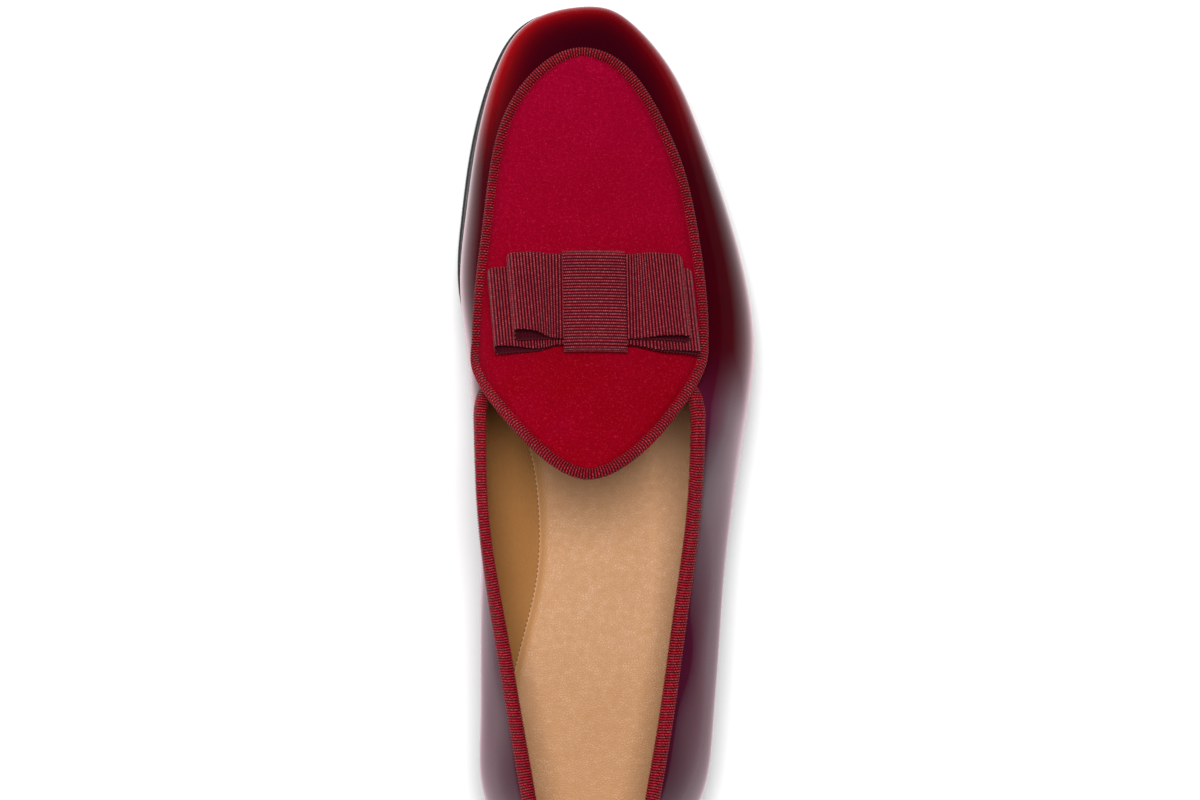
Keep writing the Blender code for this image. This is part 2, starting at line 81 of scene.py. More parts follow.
@dataclass(frozen=True)
class Side:
    """Where one rib of the last reaches its widest outline, and how it bends there."""

    x: float
    y: float
    tuck: float  # how far the feather edge lies inside the outline
    belly: float  # height of the widest point above the feather edge
    square: float  # fullness of the rib's arch
    edge: float  # inset of the sole's edge
    top: float  # height of the topline, where the rib reaches the opening


@dataclass(frozen=True)
class Rib:
    """One section of the last, from the centre line out to both sides."""

    name: str
    spine: float
    outer: Side
    inner: Side


# Name, spine y, then for each side: x, y, tuck, belly, square, edge, top
RIBS = (
    Rib("toe_tip", 117, Side(0, 145, 2.6, 8.5, 2.2, 0.2, 60),
        Side(0, 145, 2.6, 8.5, 2.2, 0.2, 60)),
    Rib("toe_corner", 116, Side(11.6, 141.3, 2.8, 9, 2.2, 0.9, 60),
        Side(-17.0, 141.7, 2.4, 9, 2.2, -1.2, 60)),
    Rib("toe_side", 110, Side(25.5, 126.5, 3.2, 10, 2.2, 1.5, 60),
        Side(-30.3, 127.1, 2, 10, 2.2, -1.8, 60)),
    Rib("toe_root", 97, Side(35.3, 107, 3.6, 11, 2.15, 1.7, 60),
        Side(-37.5, 104, 1.8, 11, 2.25, -2.1, 60)),
    Rib("fore", 75, Side(46.3, 76, 4, 12.5, 2.1, 1.8, 60),
        Side(-42.0, 75, 1.8, 12, 2.35, -2.1, 60)),
    Rib("ball", 50, Side(52.8, 51, 4.2, 14, 2.1, 1.9, 60),
        Side(-43.8, 50, 2.2, 13.5, 2.55, -1.2, 60)),
    Rib("joint", 28, Side(55, 29, 4.4, 15.5, 2.1, 2.1, 60),
        Side(-41.2, 28, 5, 16, 2.7, 3.4, 60)),
    Rib("instep", 4, Side(52, 4, 4.8, 17, 2.1, 2.3, 59),
        Side(-39.0, 4, 17.5, 24, 2.85, 16.3, 60)),
    Rib("waist", -22, Side(47.8, -22, 5, 18, 2.1, 2.5, 56),
        Side(-36.9, -22, 21.5, 28, 2.85, 20.3, 58)),
    Rib("arch", -48, Side(44.6, -48, 5, 18, 2.1, 2.6, 54),
        Side(-36.3, -48, 20.3, 27, 2.6, 19.1, 56)),
    Rib("quarter", -74, Side(42.7, -74, 5, 17, 2.1, 2.6, 55),
        Side(-36.4, -74, 13.5, 22, 2.4, 12.3, 56)),
    Rib("counter", -95, Side(41, -97, 5, 16, 2.1, 2.6, 58),
        Side(-36.7, -97, 8, 18, 2.2, 6.4, 59)),
    Rib("heel_side", -107, Side(37.3, -119.5, 4.8, 15, 2.1, 2.5, 61),
        Side(-35.4, -119.5, 5.2, 15.5, 2.1, 3, 61)),
    Rib("heel_corner", -112, Side(20.3, -140, 4.4, 15, 2.1, 2.2, 63.5),
        Side(-19.8, -140, 4.4, 15, 2.1, 2.2, 63.5)),
    Rib("heel_back", -113, Side(0, -145, 4.2, 15, 2.1, 2.1, 64.5),
        Side(0, -145, 4.2, 15, 2.1, 2.1, 64.5)),
)


def smooth_curve(knots: Sequence[float], values: Sequence[float], period: float = 0.0) -> Curve:
    """Makes a cubic with an even bend through the given values.

    Args:
        knots: Where the values stand, rising.
        values: One value for each knot.
        period: Length after which the curve closes on itself, or 0 for a curve with natural ends.

    Returns:
        A function that gives the curve's values.
    """
    t, v = np.array(knots, float), np.array(values, float)
    if period:
        t, v = np.append(t, t[0] + period), np.append(v, v[0])
    h = np.diff(t)
    slope = np.diff(v) / h
    last = len(t) - 1
    matrix, right = np.zeros((last + 1, last + 1)), np.zeros(last + 1)
    for i in range(1, last):
        matrix[i, i - 1 : i + 2] = h[i - 1], 2 * (h[i - 1] + h[i]), h[i]
        right[i] = 6 * (slope[i] - slope[i - 1])
    matrix[0, 0] = matrix[last, last] = 1
    if period:
        matrix[0, [0, 1, last - 1]] = 2 * (h[0] + h[-1]), h[0], h[-1]
        right[0] = 6 * (slope[0] - slope[-1])
        matrix[last, 0] = -1
    bend = np.linalg.solve(matrix, right)

    def at(s: Array) -> Array:
        """Gives the curve's values at s."""
        s = np.asarray(s, float)
        if period:
            s = t[0] + (s - t[0]) % period
        i = np.clip(np.searchsorted(t, s, side="right") - 1, 0, last - 1)
        a, b = (t[i + 1] - s) / h[i], (s - t[i]) / h[i]
        return a * v[i] + b * v[i + 1] + ((a**3 - a) * bend[i] + (b**3 - b) * bend[i + 1]) * h[i] ** 2 / 6

    return at


def by_y(rows: Sequence[tuple[float, float]]) -> Curve:
    """Makes a smooth curve of the second column over the first."""
    rows = sorted(rows)
    return smooth_curve([r[0] for r in rows], [r[1] for r in rows])


def smooth_step(x: Array, start: float, end: float) -> Array:
    """Gives 0 at start, 1 at end and an even rise between them."""
    t = np.clip((np.asarray(x, float) - start) / (end - start), 0, 1)
    return t * t * (3 - 2 * t)


def unit(v: Array) -> Array:
    """Scales vectors to length 1."""
    return v / np.maximum(np.linalg.norm(v, axis=-1, keepdims=True), 1e-12)


def hump(x: Array, middle: float, half_width: float) -> Array:
    """Gives a soft bump of height 1 round middle."""
    return np.exp(-(((np.asarray(x, float) - middle) / half_width) ** 2))


@dataclass
class FootForm:
    """The foot form that every piece is shaped on.

    u runs once round it: 0 at the toe, by the little-toe side to 0.5 at the heel, and back.
    """

    half_length: float = 145.0
    sole_thickness: float = 4.5
    heel_height: float = 11.0
    toe_spring: float = 9.0
    tread_front_y: float = 62.0
    tread_back_y: float = 22.0
    heel_breast_y: float = -86.0
    throat_y: float = 32.0
    throat_round: float = 25.0
    opening_back_y: float = -139.0
    back_round: float = 19.0
    open_from_y: float = 8.0
    open_fully_y: float = -30.0
    quarter_lean: float = 1.7
    centre_shift: float = -5.0
    crown_rows: tuple[tuple[float, float], ...] = (
        (150, 32), (135, 34.2), (117, 37), (97, 41.2), (75, 47.3), (50, 55.5),
        (28, 63.8), (4, 73), (-22, 81), (-48, 87), (-120, 98),
    )
    opening_rows: tuple[tuple[float, float], ...] = (
        (40, 35.6), (10, 35.6), (-29, 34.2), (-50, 31.1),
        (-70, 27.7), (-93, 24.0), (-115, 20.2), (-140, 16.8),
    )
    opening_middle_rows: tuple[tuple[float, float], ...] = (
        (40, -1.0), (0, -1.0), (-29, -1.0), (-50, -0.8), (-70, -0.3), (-93, 0.1), (-140, 0.2),
    )
    curves: dict[str, Curve] = field(default_factory=dict)

    def __post_init__(self) -> None:
        """Lays smooth curves through the ribs, spaced by their distance along the outline."""
        sides = [r.outer for r in RIBS] + [r.inner for r in RIBS[-2:0:-1]]
        chords = [
            (math.dist((a.outer.x, a.outer.y), (b.outer.x, b.outer.y))
             + math.dist((a.inner.x, a.inner.y), (b.inner.x, b.inner.y))) / 2
            for a, b in zip(RIBS, RIBS[1:])
        ]
        half = np.concatenate([[0], np.cumsum(chords)]) / (2 * sum(chords))
        knots = np.concatenate([half, 1 - half[-2:0:-1]])
        spines = [r.spine for r in RIBS] + [r.spine for r in RIBS[-2:0:-1]]
        self.curves["spine"] = smooth_curve(knots, spines, 1.0)
        for name in Side.__dataclass_fields__:
            self.curves[name] = smooth_curve(knots, [getattr(s, name) for s in sides], 1.0)
        self.curves["crown"] = by_y(self.crown_rows)
        self.curves["opening"] = by_y(self.opening_rows)
        self.curves["opening_middle"] = by_y(self.opening_middle_rows)

    def of(self, name: str, u: Array) -> Array:
        """Reads one of the form's curves."""
        return self.curves[name](u)

    def under_z(self, y: Array) -> Array:
        """Gives the height of the sole's underside: toe spring, flat tread, arch and heel seat."""
        ahead = np.clip((y - self.tread_front_y) / (self.half_length - self.tread_front_y), 0, None)
        rise = smooth_step(y, self.tread_back_y, self.heel_breast_y)
        return self.toe_spring * ahead**2 + self.heel_height * rise

    def feather_z(self, y: Array) -> Array:
        """Gives the height of the feather edge, where the upper meets the sole."""
        return self.under_z(y) + self.sole_thickness

    def half_opening(self, y: Array) -> Array:
        """Gives half the opening's width at y, rounded off at the throat and the heel."""
        front = np.clip((self.throat_y - y) / self.throat_round, 0, 1)
        back = np.clip((y - self.opening_back_y) / self.back_round, 0, 1)
        return self.of("opening", y) * np.sqrt(1 - (1 - front) ** 2) * np.sqrt(1 - (1 - back) ** 2)

    def rib(self, u: Array) -> tuple[Array, Array, Array, Array, Array]:
        """Gives the outline point, its unit direction inwards and its length, in plan."""
        x, y = self.of("x", u), self.of("y", u)
        dx, dy = -x, self.of("spine", u) - y
        length = np.hypot(dx, dy)
        return x, y, dx / length, dy / length, length

    def reach(self, u: Array) -> Array:
        """Gives how far in from the outline a rib meets the opening, or else the spine."""
        x, y, dx, dy, length = self.rib(u)
        low, high = np.zeros_like(length), length.copy()
        for _ in range(40):
            middle = (low + high) / 2
            px, py = x + dx * middle, y + dy * middle
            across = np.abs(px - self.of("opening_middle", py))
            inside = (across < self.half_opening(py)) & (py < self.throat_y) & (py > self.opening_back_y)
            high, low = np.where(inside, middle, high), np.where(inside, low, middle)
        return high

    def point(self, u: Array, t: Array) -> Array:
        """Gives points of the upper's outside.

        Args:
            u: Place round the form.
            t: Height up the rib: -1 at the feather edge, 0 at the widest, 1 at the topline or ridge.

        Returns:
            Points in millimetres.
        """
        x, y, dx, dy, length = self.rib(u)
        tuck, belly, power = self.of("tuck", u), self.of("belly", u), self.of("square", u)
        feather = self.feather_z(y + dy * tuck)
        below, above = np.clip(-t, 0, 1), np.clip(t, 0, 1)
        reach = self.reach(u)
        angle = above * np.arccos(np.clip(1 - reach / length, 0, 1) ** (power / 2))
        inset = length * (1 - np.cos(angle) ** (2 / power))
        height = (self.of("crown", y + dy * inset) - feather - belly) * np.sin(angle) ** (2 / power)
        share = smooth_step(y, self.open_from_y, self.open_fully_y)
        inset = inset * (1 - share) + share * reach * above**self.quarter_lean + tuck * below**2
        height = height * (1 - share) + share * (self.of("top", u) - feather - belly) * above
        return np.stack([x + dx * inset, y + dy * inset, feather + belly * (1 - below) + height], axis=-1)

    def over(self, x: Array, y: Array) -> Array:
        """Gives the height of the closed form over points in plan."""
        x, y = np.asarray(x, float), np.asarray(y, float)
        x = np.where(np.abs(x) < 1e-4, 1e-4, x)
        low, high = np.where(x > 0, 0.0, 1.0), np.full_like(x, 0.5)
        for _ in range(32):
            u = (low + high) / 2
            ox, oy, spine = self.of("x", u), self.of("y", u), self.of("spine", u)
            ahead = (x * (oy - spine) - (y - spine) * ox) * np.sign(x) > 0
            low, high = np.where(ahead, u, low), np.where(ahead, high, u)
        power, belly = self.of("square", u), self.of("belly", u)
        length = np.hypot(ox, oy - spine)
        q = np.clip(np.hypot(x, y - spine) / length, 0, 1)
        feather = self.feather_z(oy + (spine - oy) / length * self.of("tuck", u))
        return feather + belly + (self.of("crown", y) - feather - belly) * (1 - q**power) ** (1 / power)

    def normal_over(self, x: Array, y: Array, step: float = 0.4) -> Array:
        """Gives unit normals of the closed form over points in plan."""
        gx = (self.over(x + step, y) - self.over(x - step, y)) / (2 * step)
        gy = (self.over(x, y + step) - self.over(x, y - step)) / (2 * step)
        return unit(np.stack([-gx, -gy, np.ones_like(gx)], axis=-1))


# Meshes

def grid_faces(rows: int, columns: int, closed_rows: bool = False, closed_columns: bool = False) -> Array:
    """Gives the quads of a grid of points, as four indices each.

    Args:
        rows: Number of rows.
        columns: Number of points in a row.
        closed_rows: Whether the last row joins the first.
        closed_columns: Whether each row's last point joins its first.

    Returns:
        An array of quads, row by row.
    """
    i = np.arange(rows if closed_rows else rows - 1)[:, None]
    j = np.arange(columns if closed_columns else columns - 1)[None, :]
    k, m = (i + 1) % rows, (j + 1) % columns
    corners = [i * columns + j, k * columns + j, k * columns + m, i * columns + m]
    return np.stack([c + 0 * (i + j) for c in corners], axis=-1).reshape(-1, 4)


def corner_values(across: Array, along: Array) -> Array:
    """Gives each quad corner of a grid its surface place.

    Args:
        across: Place of each column line, in millimetres, one more than the columns of quads.
        along: Place of each row line, in millimetres, one more than the rows of quads.

    Returns:
        One (along, across) pair for each corner, in the order of grid_faces.
    """
    rows, columns = len(along) - 1, len(across) - 1
    i, j = np.meshgrid(np.arange(rows), np.arange(columns), indexing="ij")
    corners = [(i, j), (i + 1, j), (i + 1, j + 1), (i, j + 1)]
    pairs = [np.stack([along[a], across[b]], axis=-1) for a, b in corners]
    return np.stack(pairs, axis=2).reshape(-1, 2)


@dataclass
class Piece:
    """One mesh of the finished shoe, in the form's millimetres."""

    name: str
    points: Array
    faces: Sequence[Sequence[int]]
    form: FootForm
    uv: Array | None = None
    values: dict[str, Array] = field(default_factory=dict)

    def place(self, materials: Sequence[bpy.types.Material], sharp: float = 50.0) -> bpy.types.Object:
        """Makes the object, smooth but for edges sharper than `sharp` degrees.

        Args:
            materials: The materials of its slots.
            sharp: Angle in degrees past which an edge stays sharp.

        Returns:
            The new object.
        """
        mesh = bpy.data.meshes.new(self.name)
        shift = np.array([self.form.centre_shift, 0, 0])
        faces = [list(map(int, face)) for face in self.faces]
        mesh.from_pydata(((self.points + shift) * MM).tolist(), [], faces)
        if self.uv is not None:
            layer = mesh.uv_layers.new(name="surface")
            layer.data.foreach_set("uv", np.asarray(self.uv, np.float32).reshape(-1))
        for name, column in self.values.items():
            attribute = mesh.attributes.new(name, "FLOAT", "POINT")
            attribute.data.foreach_set("value", np.asarray(column, np.float32))
        mesh.shade_smooth()
        mesh.set_sharp_from_angle(angle=math.radians(sharp))
        for material in materials:
            mesh.materials.append(material)
        obj = bpy.data.objects.new(self.name, mesh)
        bpy.context.scene.collection.objects.link(obj)
        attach(obj, BODY)
        LOG.info("%s: %d points, %d faces", self.name, len(self.points), len(self.faces))
        return obj


def thicken(obj: bpy.types.Object, wall: float, offset: float, inside: int = 0, rim: int = 0) -> None:
    """Gives an open sheet its wall.

    Args:
        obj: The sheet.
        wall: Thickness in millimetres.
        offset: -1 to grow inwards, 1 outwards, 0 both ways.
        inside: How many material slots further the new side takes its material.
        rim: The same for the rim.
    """
    solid = obj.modifiers.new("wall", "SOLIDIFY")
    solid.thickness = wall * MM
    solid.offset = offset
    solid.use_even_offset = True
    solid.material_offset = inside
    solid.material_offset_rim = rim


def grid_normals(grid: Array, closed_rows: bool = False) -> Array:
    """Gives unit normals of a grid of points, along its row direction crossed with its column direction."""
    if closed_rows:
        along = np.roll(grid, -1, axis=0) - np.roll(grid, 1, axis=0)
    else:
        along = np.gradient(grid, axis=0)
    return unit(np.cross(np.gradient(grid, axis=1), along))


def welded(points: Array, faces: Array, within: float = 2e-3) -> tuple[Array, list[list[int]]]:
    """Makes points this close one, and drops the faces that fold up.

    Args:
        points: The grid's points.
        faces: Its quads.
        within: Distance in millimetres.

    Returns:
        The numbers of the points that are kept, and the faces over them.
    """
    keys = np.round(points / within + 0.123).astype(np.int64)
    _, first, place = np.unique(keys, axis=0, return_index=True, return_inverse=True)
    index = first[place.reshape(-1)][faces]
    kept = [[a for a, b in zip(face, np.roll(face, 1)) if a != b] for face in index]
    kept = [face for face in kept if len(face) > 2]
    used = np.unique(np.concatenate([np.array(f) for f in kept]))
    renumber = np.full(len(points), -1)
    renumber[used] = np.arange(len(used))
    return used, [[int(renumber[i]) for i in f] for f in kept]


# Shader nodes

@dataclass
class Wiring:
    """A short way to place and join the nodes of one tree."""

    tree: bpy.types.NodeTree

    def add(self, kind: str, inputs: dict[str | int, object] | None = None,
            **settings: object) -> bpy.types.Node:
        """Adds a node.

        Args:
            kind: The node's type, without its ShaderNode prefix.
            inputs: Values, or sockets to join, by input name or number.
            settings: The node's own settings.

        Returns:
            The new node.
        """
        prefix = "" if kind.startswith("Node") else "ShaderNode"
        node = self.tree.nodes.new(prefix + kind)
        for name, value in settings.items():
            setattr(node, name, value)
        for name, value in (inputs or {}).items():
            socket = node.inputs[name]
            if isinstance(value, bpy.types.NodeSocket):
                self.tree.links.new(value, socket)
            else:
                socket.default_value = value
        return node

    def maths(self, operation: str, *terms: object) -> bpy.types.NodeSocket:
        """Joins terms by one operation and gives the result's socket."""
        return self.add("Math", dict(enumerate(terms)), operation=operation).outputs[0]

    def between(self, value: object, low: float, high: float,
                start: float, end: float) -> bpy.types.NodeSocket:
        """Maps a value from low..high to start..end, held at both ends."""
        given = {"Value": value, "From Min": low, "From Max": high, "To Min": start, "To Max": end}
        return self.add("MapRange", given).outputs[0]

    def blend(self, share: object, first: object, second: object) -> bpy.types.NodeSocket:
        """Mixes two colours by a share."""
        node = self.add("Mix", {"Factor": share}, data_type="RGBA", blend_type="MIX")
        for number, value in ((6, first), (7, second)):
            if isinstance(value, bpy.types.NodeSocket):
                self.tree.links.new(value, node.inputs[number])
            else:
                node.inputs[number].default_value = value
        return node.outputs[2]

    def bump(self, height: object, strength: float, distance: float, **under: object) -> bpy.types.NodeSocket:
        """Turns a height into a normal, over another Normal where one is given."""
        given = {"Height": height, "Strength": strength, "Distance": distance, **under}
        return self.add("Bump", given).outputs[0]

    def feed(self, node: bpy.types.Node, **sockets: bpy.types.NodeSocket) -> None:
        """Joins sockets to a node's inputs, named with underscores for spaces."""
        for name, socket in sockets.items():
            self.tree.links.new(socket, node.inputs[name.replace("_", " ")])


def new_group(name: str, given: dict[str, float],
              made: Sequence[str]) -> tuple[bpy.types.NodeTree, Wiring, dict, dict]:
    """Starts a shader node group with float inputs and outputs.

    Args:
        name: The group's name.
        given: Its inputs and their defaults.
        made: Its outputs.

    Returns:
        The group, its wiring, its input sockets by name and its output sockets by name.
    """
    group = bpy.data.node_groups.new(name, "ShaderNodeTree")
    for word, default in given.items():
        socket = group.interface.new_socket(word, in_out="INPUT", socket_type="NodeSocketFloat")
        socket.default_value = default
    for word in made:
        group.interface.new_socket(word, in_out="OUTPUT", socket_type="NodeSocketFloat")
    wiring = Wiring(group)
    source = wiring.add("NodeGroupInput")
    result = wiring.add("NodeGroupOutput")
    return group, wiring, {k: source.outputs[k] for k in given}, {k: result.inputs[k] for k in made}


def make_leather_grain() -> bpy.types.NodeTree:
    """Pores and fine wrinkles: Height is for a bump, Pores is 1 in the hollows."""
    sizes = {"Per Metre": 1400.0, "Wrinkle": 0.35}
    group, w, given, made = new_group("leather_grain", sizes, ("Height", "Pores"))
    place = w.add("TexCoord").outputs["Object"]
    cells = w.add("TexVoronoi", {"Vector": place, "Scale": given["Per Metre"], "Randomness": 1.0},
                  feature="DISTANCE_TO_EDGE")
    hollow = w.between(cells.outputs["Distance"], 0.0, 0.22, 0.0, 1.0)
    folds = w.add("TexNoise", {"Vector": place, "Scale": w.maths("MULTIPLY", given["Per Metre"], 0.3),
                               "Detail": 4.0, "Roughness": 0.6})
    height = w.maths("ADD", hollow, w.maths("MULTIPLY", folds.outputs["Fac"], given["Wrinkle"]))
    w.tree.links.new(height, made["Height"])
    w.tree.links.new(w.maths("SUBTRACT", 1.0, hollow), made["Pores"])
    return group


def make_soft_cloud() -> bpy.types.NodeTree:
    """Large soft patches for dye and nap: Share runs from 0 to 1."""
    group, w, given, made = new_group("soft_cloud", {"Per Metre": 30.0, "Contrast": 2.0}, ("Share",))
    place = w.add("TexCoord").outputs["Object"]
    noise = w.add("TexNoise", {"Vector": place, "Scale": given["Per Metre"],
                               "Detail": 5.0, "Roughness": 0.55})
    centred = w.maths("SUBTRACT", noise.outputs["Fac"], 0.5)
    share = w.maths("ADD", w.maths("MULTIPLY", centred, given["Contrast"]), 0.5)
    w.tree.links.new(w.add("Clamp", {"Value": share}).outputs[0], made["Share"])
    return group


def make_ribbed_weave() -> bpy.types.NodeTree:
    """Grosgrain: Crest is 1 along the ribs' tops, Height adds the threads that wrap each rib."""
    sizes = {"Rib": 1.5, "Thread": 0.42}
    group, w, given, made = new_group("ribbed_weave", sizes, ("Crest", "Height", "Thread Top"))
    apart = w.add("SeparateXYZ", {"Vector": w.add("UVMap", uv_map="surface").outputs[0]})
    ribs = w.maths("DIVIDE", apart.outputs["X"], given["Rib"])
    wave = w.maths("COSINE", w.maths("MULTIPLY", ribs, 2 * math.pi))
    crest = w.maths("ADD", w.maths("MULTIPLY", wave, 0.5), 0.5)
    threads = w.maths("DIVIDE", apart.outputs["Y"], given["Thread"])
    slant = w.maths("ADD", threads, w.maths("MULTIPLY", ribs, 0.5))
    thread = w.maths("ABSOLUTE", w.maths("SINE", w.maths("MULTIPLY", slant, math.pi)))
    w.tree.links.new(crest, made["Crest"])
    w.tree.links.new(thread, made["Thread Top"])
    height = w.maths("MULTIPLY", crest, w.maths("ADD", w.maths("MULTIPLY", thread, 0.6), 0.4))
    w.tree.links.new(height, made["Height"])
    return group


Colour = tuple[float, float, float]


def opaque(colour: Colour) -> tuple[float, float, float, float]:
    """Adds full alpha to a colour."""
    return (*colour, 1.0)


@dataclass(frozen=True)
class Effects:
    """The node groups that the finishes share."""

    grain: bpy.types.NodeTree
    cloud: bpy.types.NodeTree
    weave: bpy.types.NodeTree

    @classmethod
    def build(cls) -> "Effects":
        """Makes each group once."""
        return cls(make_leather_grain(), make_soft_cloud(), make_ribbed_weave())

    def patches(self, w: Wiring, per_metre: float, contrast: float) -> bpy.types.NodeSocket:
        """Adds soft patches of a size to a material and gives their share."""
        given = {"Per Metre": per_metre, "Contrast": contrast}
        return w.add("Group", given, node_tree=self.cloud).outputs[0]

    def pores(self, w: Wiring, per_metre: float, wrinkle: float) -> bpy.types.Node:
        """Adds leather grain of a size to a material."""
        return w.add("Group", {"Per Metre": per_metre, "Wrinkle": wrinkle}, node_tree=self.grain)


def start_material(name: str) -> tuple[bpy.types.Material, Wiring, bpy.types.Node]:
    """Makes a node material.

    Args:
        name: Its name.

    Returns:
        The material, its wiring and its Principled shader.
    """
    material = bpy.data.materials.new(name)
    material.use_nodes = True
    return material, Wiring(material.node_tree), material.node_tree.nodes["Principled BSDF"]


def set_plain(shader: bpy.types.Node, **values: float) -> None:
    """Sets the shader's own sockets, named with underscores for spaces."""
    for name, value in values.items():
        shader.inputs[name.replace("_", " ")].default_value = value


@dataclass(frozen=True)
class PolishedLeather:
    """Burnished calf with a glassy polish: darker in random patches of worked-in dye, painted a brighter red
    where light falls and darker where shade falls, plum on the quarters.
    """

    dye: Colour = (0.062, 0.0005, 0.0026)
    burnish: Colour = (0.026, 0.0004, 0.0024)
    # Painted light: a brighter red where light falls.
    glow: Colour = (0.470, 0.0010, 0.0018)
    # Painted shade: a darker tone where shade falls.
    edge_dark: Colour = (0.016, 0.0005, 0.0040)
    rim: Colour = (0.85, 0.06, 0.30)
    polish_from: float = 0.42
    polish_full: float = 0.80
    fresh_polish: float = 0.85
    plum: Colour = (0.078, 0.0085, 0.032)
    plum_share: float = 0.85

    def build(self, effects: Effects) -> bpy.types.Material:
        """Makes the material.

        Args:
            effects: The shared node groups.

        Returns:
            The material.
        """
        material, w, shader = start_material("polished_burgundy_leather")
        cloud = effects.patches(w, 26.0, 2.2)
        fine = effects.patches(w, 210.0, 1.6)
        glow = w.add("Attribute", attribute_name="glow").outputs["Fac"]
        dark = w.add("Attribute", attribute_name="burnish").outputs["Fac"]
        fresh = w.add("Attribute", attribute_name="fresh").outputs["Fac"]
        colour = w.blend(w.maths("MULTIPLY", cloud, 0.5), opaque(self.dye), opaque(self.burnish))
        # Painted light: a brighter red where light falls on the toe, the joint and the heel.
        colour = w.blend(glow, colour, opaque(self.glow))
        colour = w.blend(w.maths("MULTIPLY", fresh, self.plum_share), colour, opaque(self.plum))
        # Painted shade: darker beside the apron, at the feather edge and along the topline.
        colour = w.blend(dark, colour, opaque(self.edge_dark))
        colour = w.blend(w.maths("MULTIPLY", fine, 0.16), colour, opaque(self.burnish))
        grain = effects.pores(w, 2300.0, 0.5)
        place = w.add("TexCoord").outputs["Object"]
        pull = w.add("TexNoise", {"Vector": place, "Scale": 75.0, "Detail": 2.0})
        deep = w.bump(pull.outputs["Fac"], 0.05, 0.0008)
        bump = w.bump(grain.outputs["Height"], 0.035, 0.0001, Normal=deep)
        rough = w.between(fine, 0.0, 1.0, 0.20, 0.30)
        w.feed(shader, Base_Color=colour, Roughness=rough, Normal=bump)
        lean = w.add("LayerWeight", {"Blend": 0.5}).outputs["Facing"]
        steep = w.between(lean, self.polish_from, self.polish_full, 0.03, 0.95)
        quarter = w.maths("MULTIPLY", fresh, w.between(lean, 0.27, 0.50, 0.0, self.fresh_polish))
        w.feed(shader, Coat_Weight=w.maths("MAXIMUM", steep, quarter))
        set_plain(shader, Coat_Roughness=0.045, Coat_IOR=1.65, Specular_IOR_Level=0.0)
        set_plain(shader, Sheen_Weight=0.22, Sheen_Roughness=0.33)
        shader.inputs["Sheen Tint"].default_value = opaque(self.rim)
        return material


@dataclass(frozen=True)
class Suede:
    """Crimson suede, its short nap brushed lighter and darker in patches."""

    nap: Colour = (0.275, 0.0008, 0.0230)
    brushed: Colour = (0.222, 0.0005, 0.0035)
    deep: Colour = (0.165, 0.0004, 0.0080)
    tip: Colour = (0.520, 0.0180, 0.0420)
    sheen: Colour = (0.90, 0.10, 0.20)
    toe_y: float = 0.125
    tab_y: float = 0.02

    def build(self, effects: Effects) -> bpy.types.Material:
        """Makes the material.

        Args:
            effects: The shared node groups.

        Returns:
            The material.
        """
        material, w, shader = start_material("crimson_suede")
        place = w.add("TexCoord").outputs["Object"]
        cloud = effects.patches(w, 38.0, 2.0)
        short = {"Vector": place, "Scale": 1700.0, "Detail": 3.0, "Roughness": 0.7}
        hairs = w.add("TexNoise", short).outputs["Fac"]
        tufts = {"Vector": place, "Scale": 800.0, "Detail": 4.0, "Roughness": 0.65}
        clumps = w.add("TexNoise", tufts).outputs["Fac"]
        along = w.add("SeparateXYZ", {"Vector": place}).outputs["Y"]
        redder = w.between(along, self.tab_y, self.toe_y, 1.0, 0.0)
        patchy = w.maths("MULTIPLY", redder, w.between(cloud, 0.0, 1.0, 0.6, 1.3))
        share = w.add("Clamp", {"Value": patchy}).outputs[0]
        colour = w.blend(share, opaque(self.nap), opaque(self.brushed))
        colour = w.blend(w.maths("MULTIPLY", cloud, 0.35), colour, opaque(self.deep))
        colour = w.blend(w.between(clumps, 0.62, 0.38, 0.0, 0.45), colour, opaque(self.deep))
        colour = w.blend(w.between(hairs, 0.55, 0.75, 0.0, 0.6), colour, opaque(self.tip))
        height = w.maths("ADD", hairs, w.maths("MULTIPLY", clumps, 0.8))
        bump = w.bump(height, 0.5, 0.00035)
        w.feed(shader, Base_Color=colour, Normal=bump)
        set_plain(shader, Roughness=0.95, Sheen_Weight=0.08, Sheen_Roughness=0.4, Specular_IOR_Level=0.0)
        shader.inputs["Sheen Tint"].default_value = opaque(self.sheen)
        return material


class RibbonUse(Enum):
    """Where the ribbed ribbon is used: name, rib and thread pitch in mm."""

    BOW = ("bow_grosgrain", BOW_RIB, 0.62)
    BINDING = ("binding_grosgrain", BINDING_RIB, 0.95)


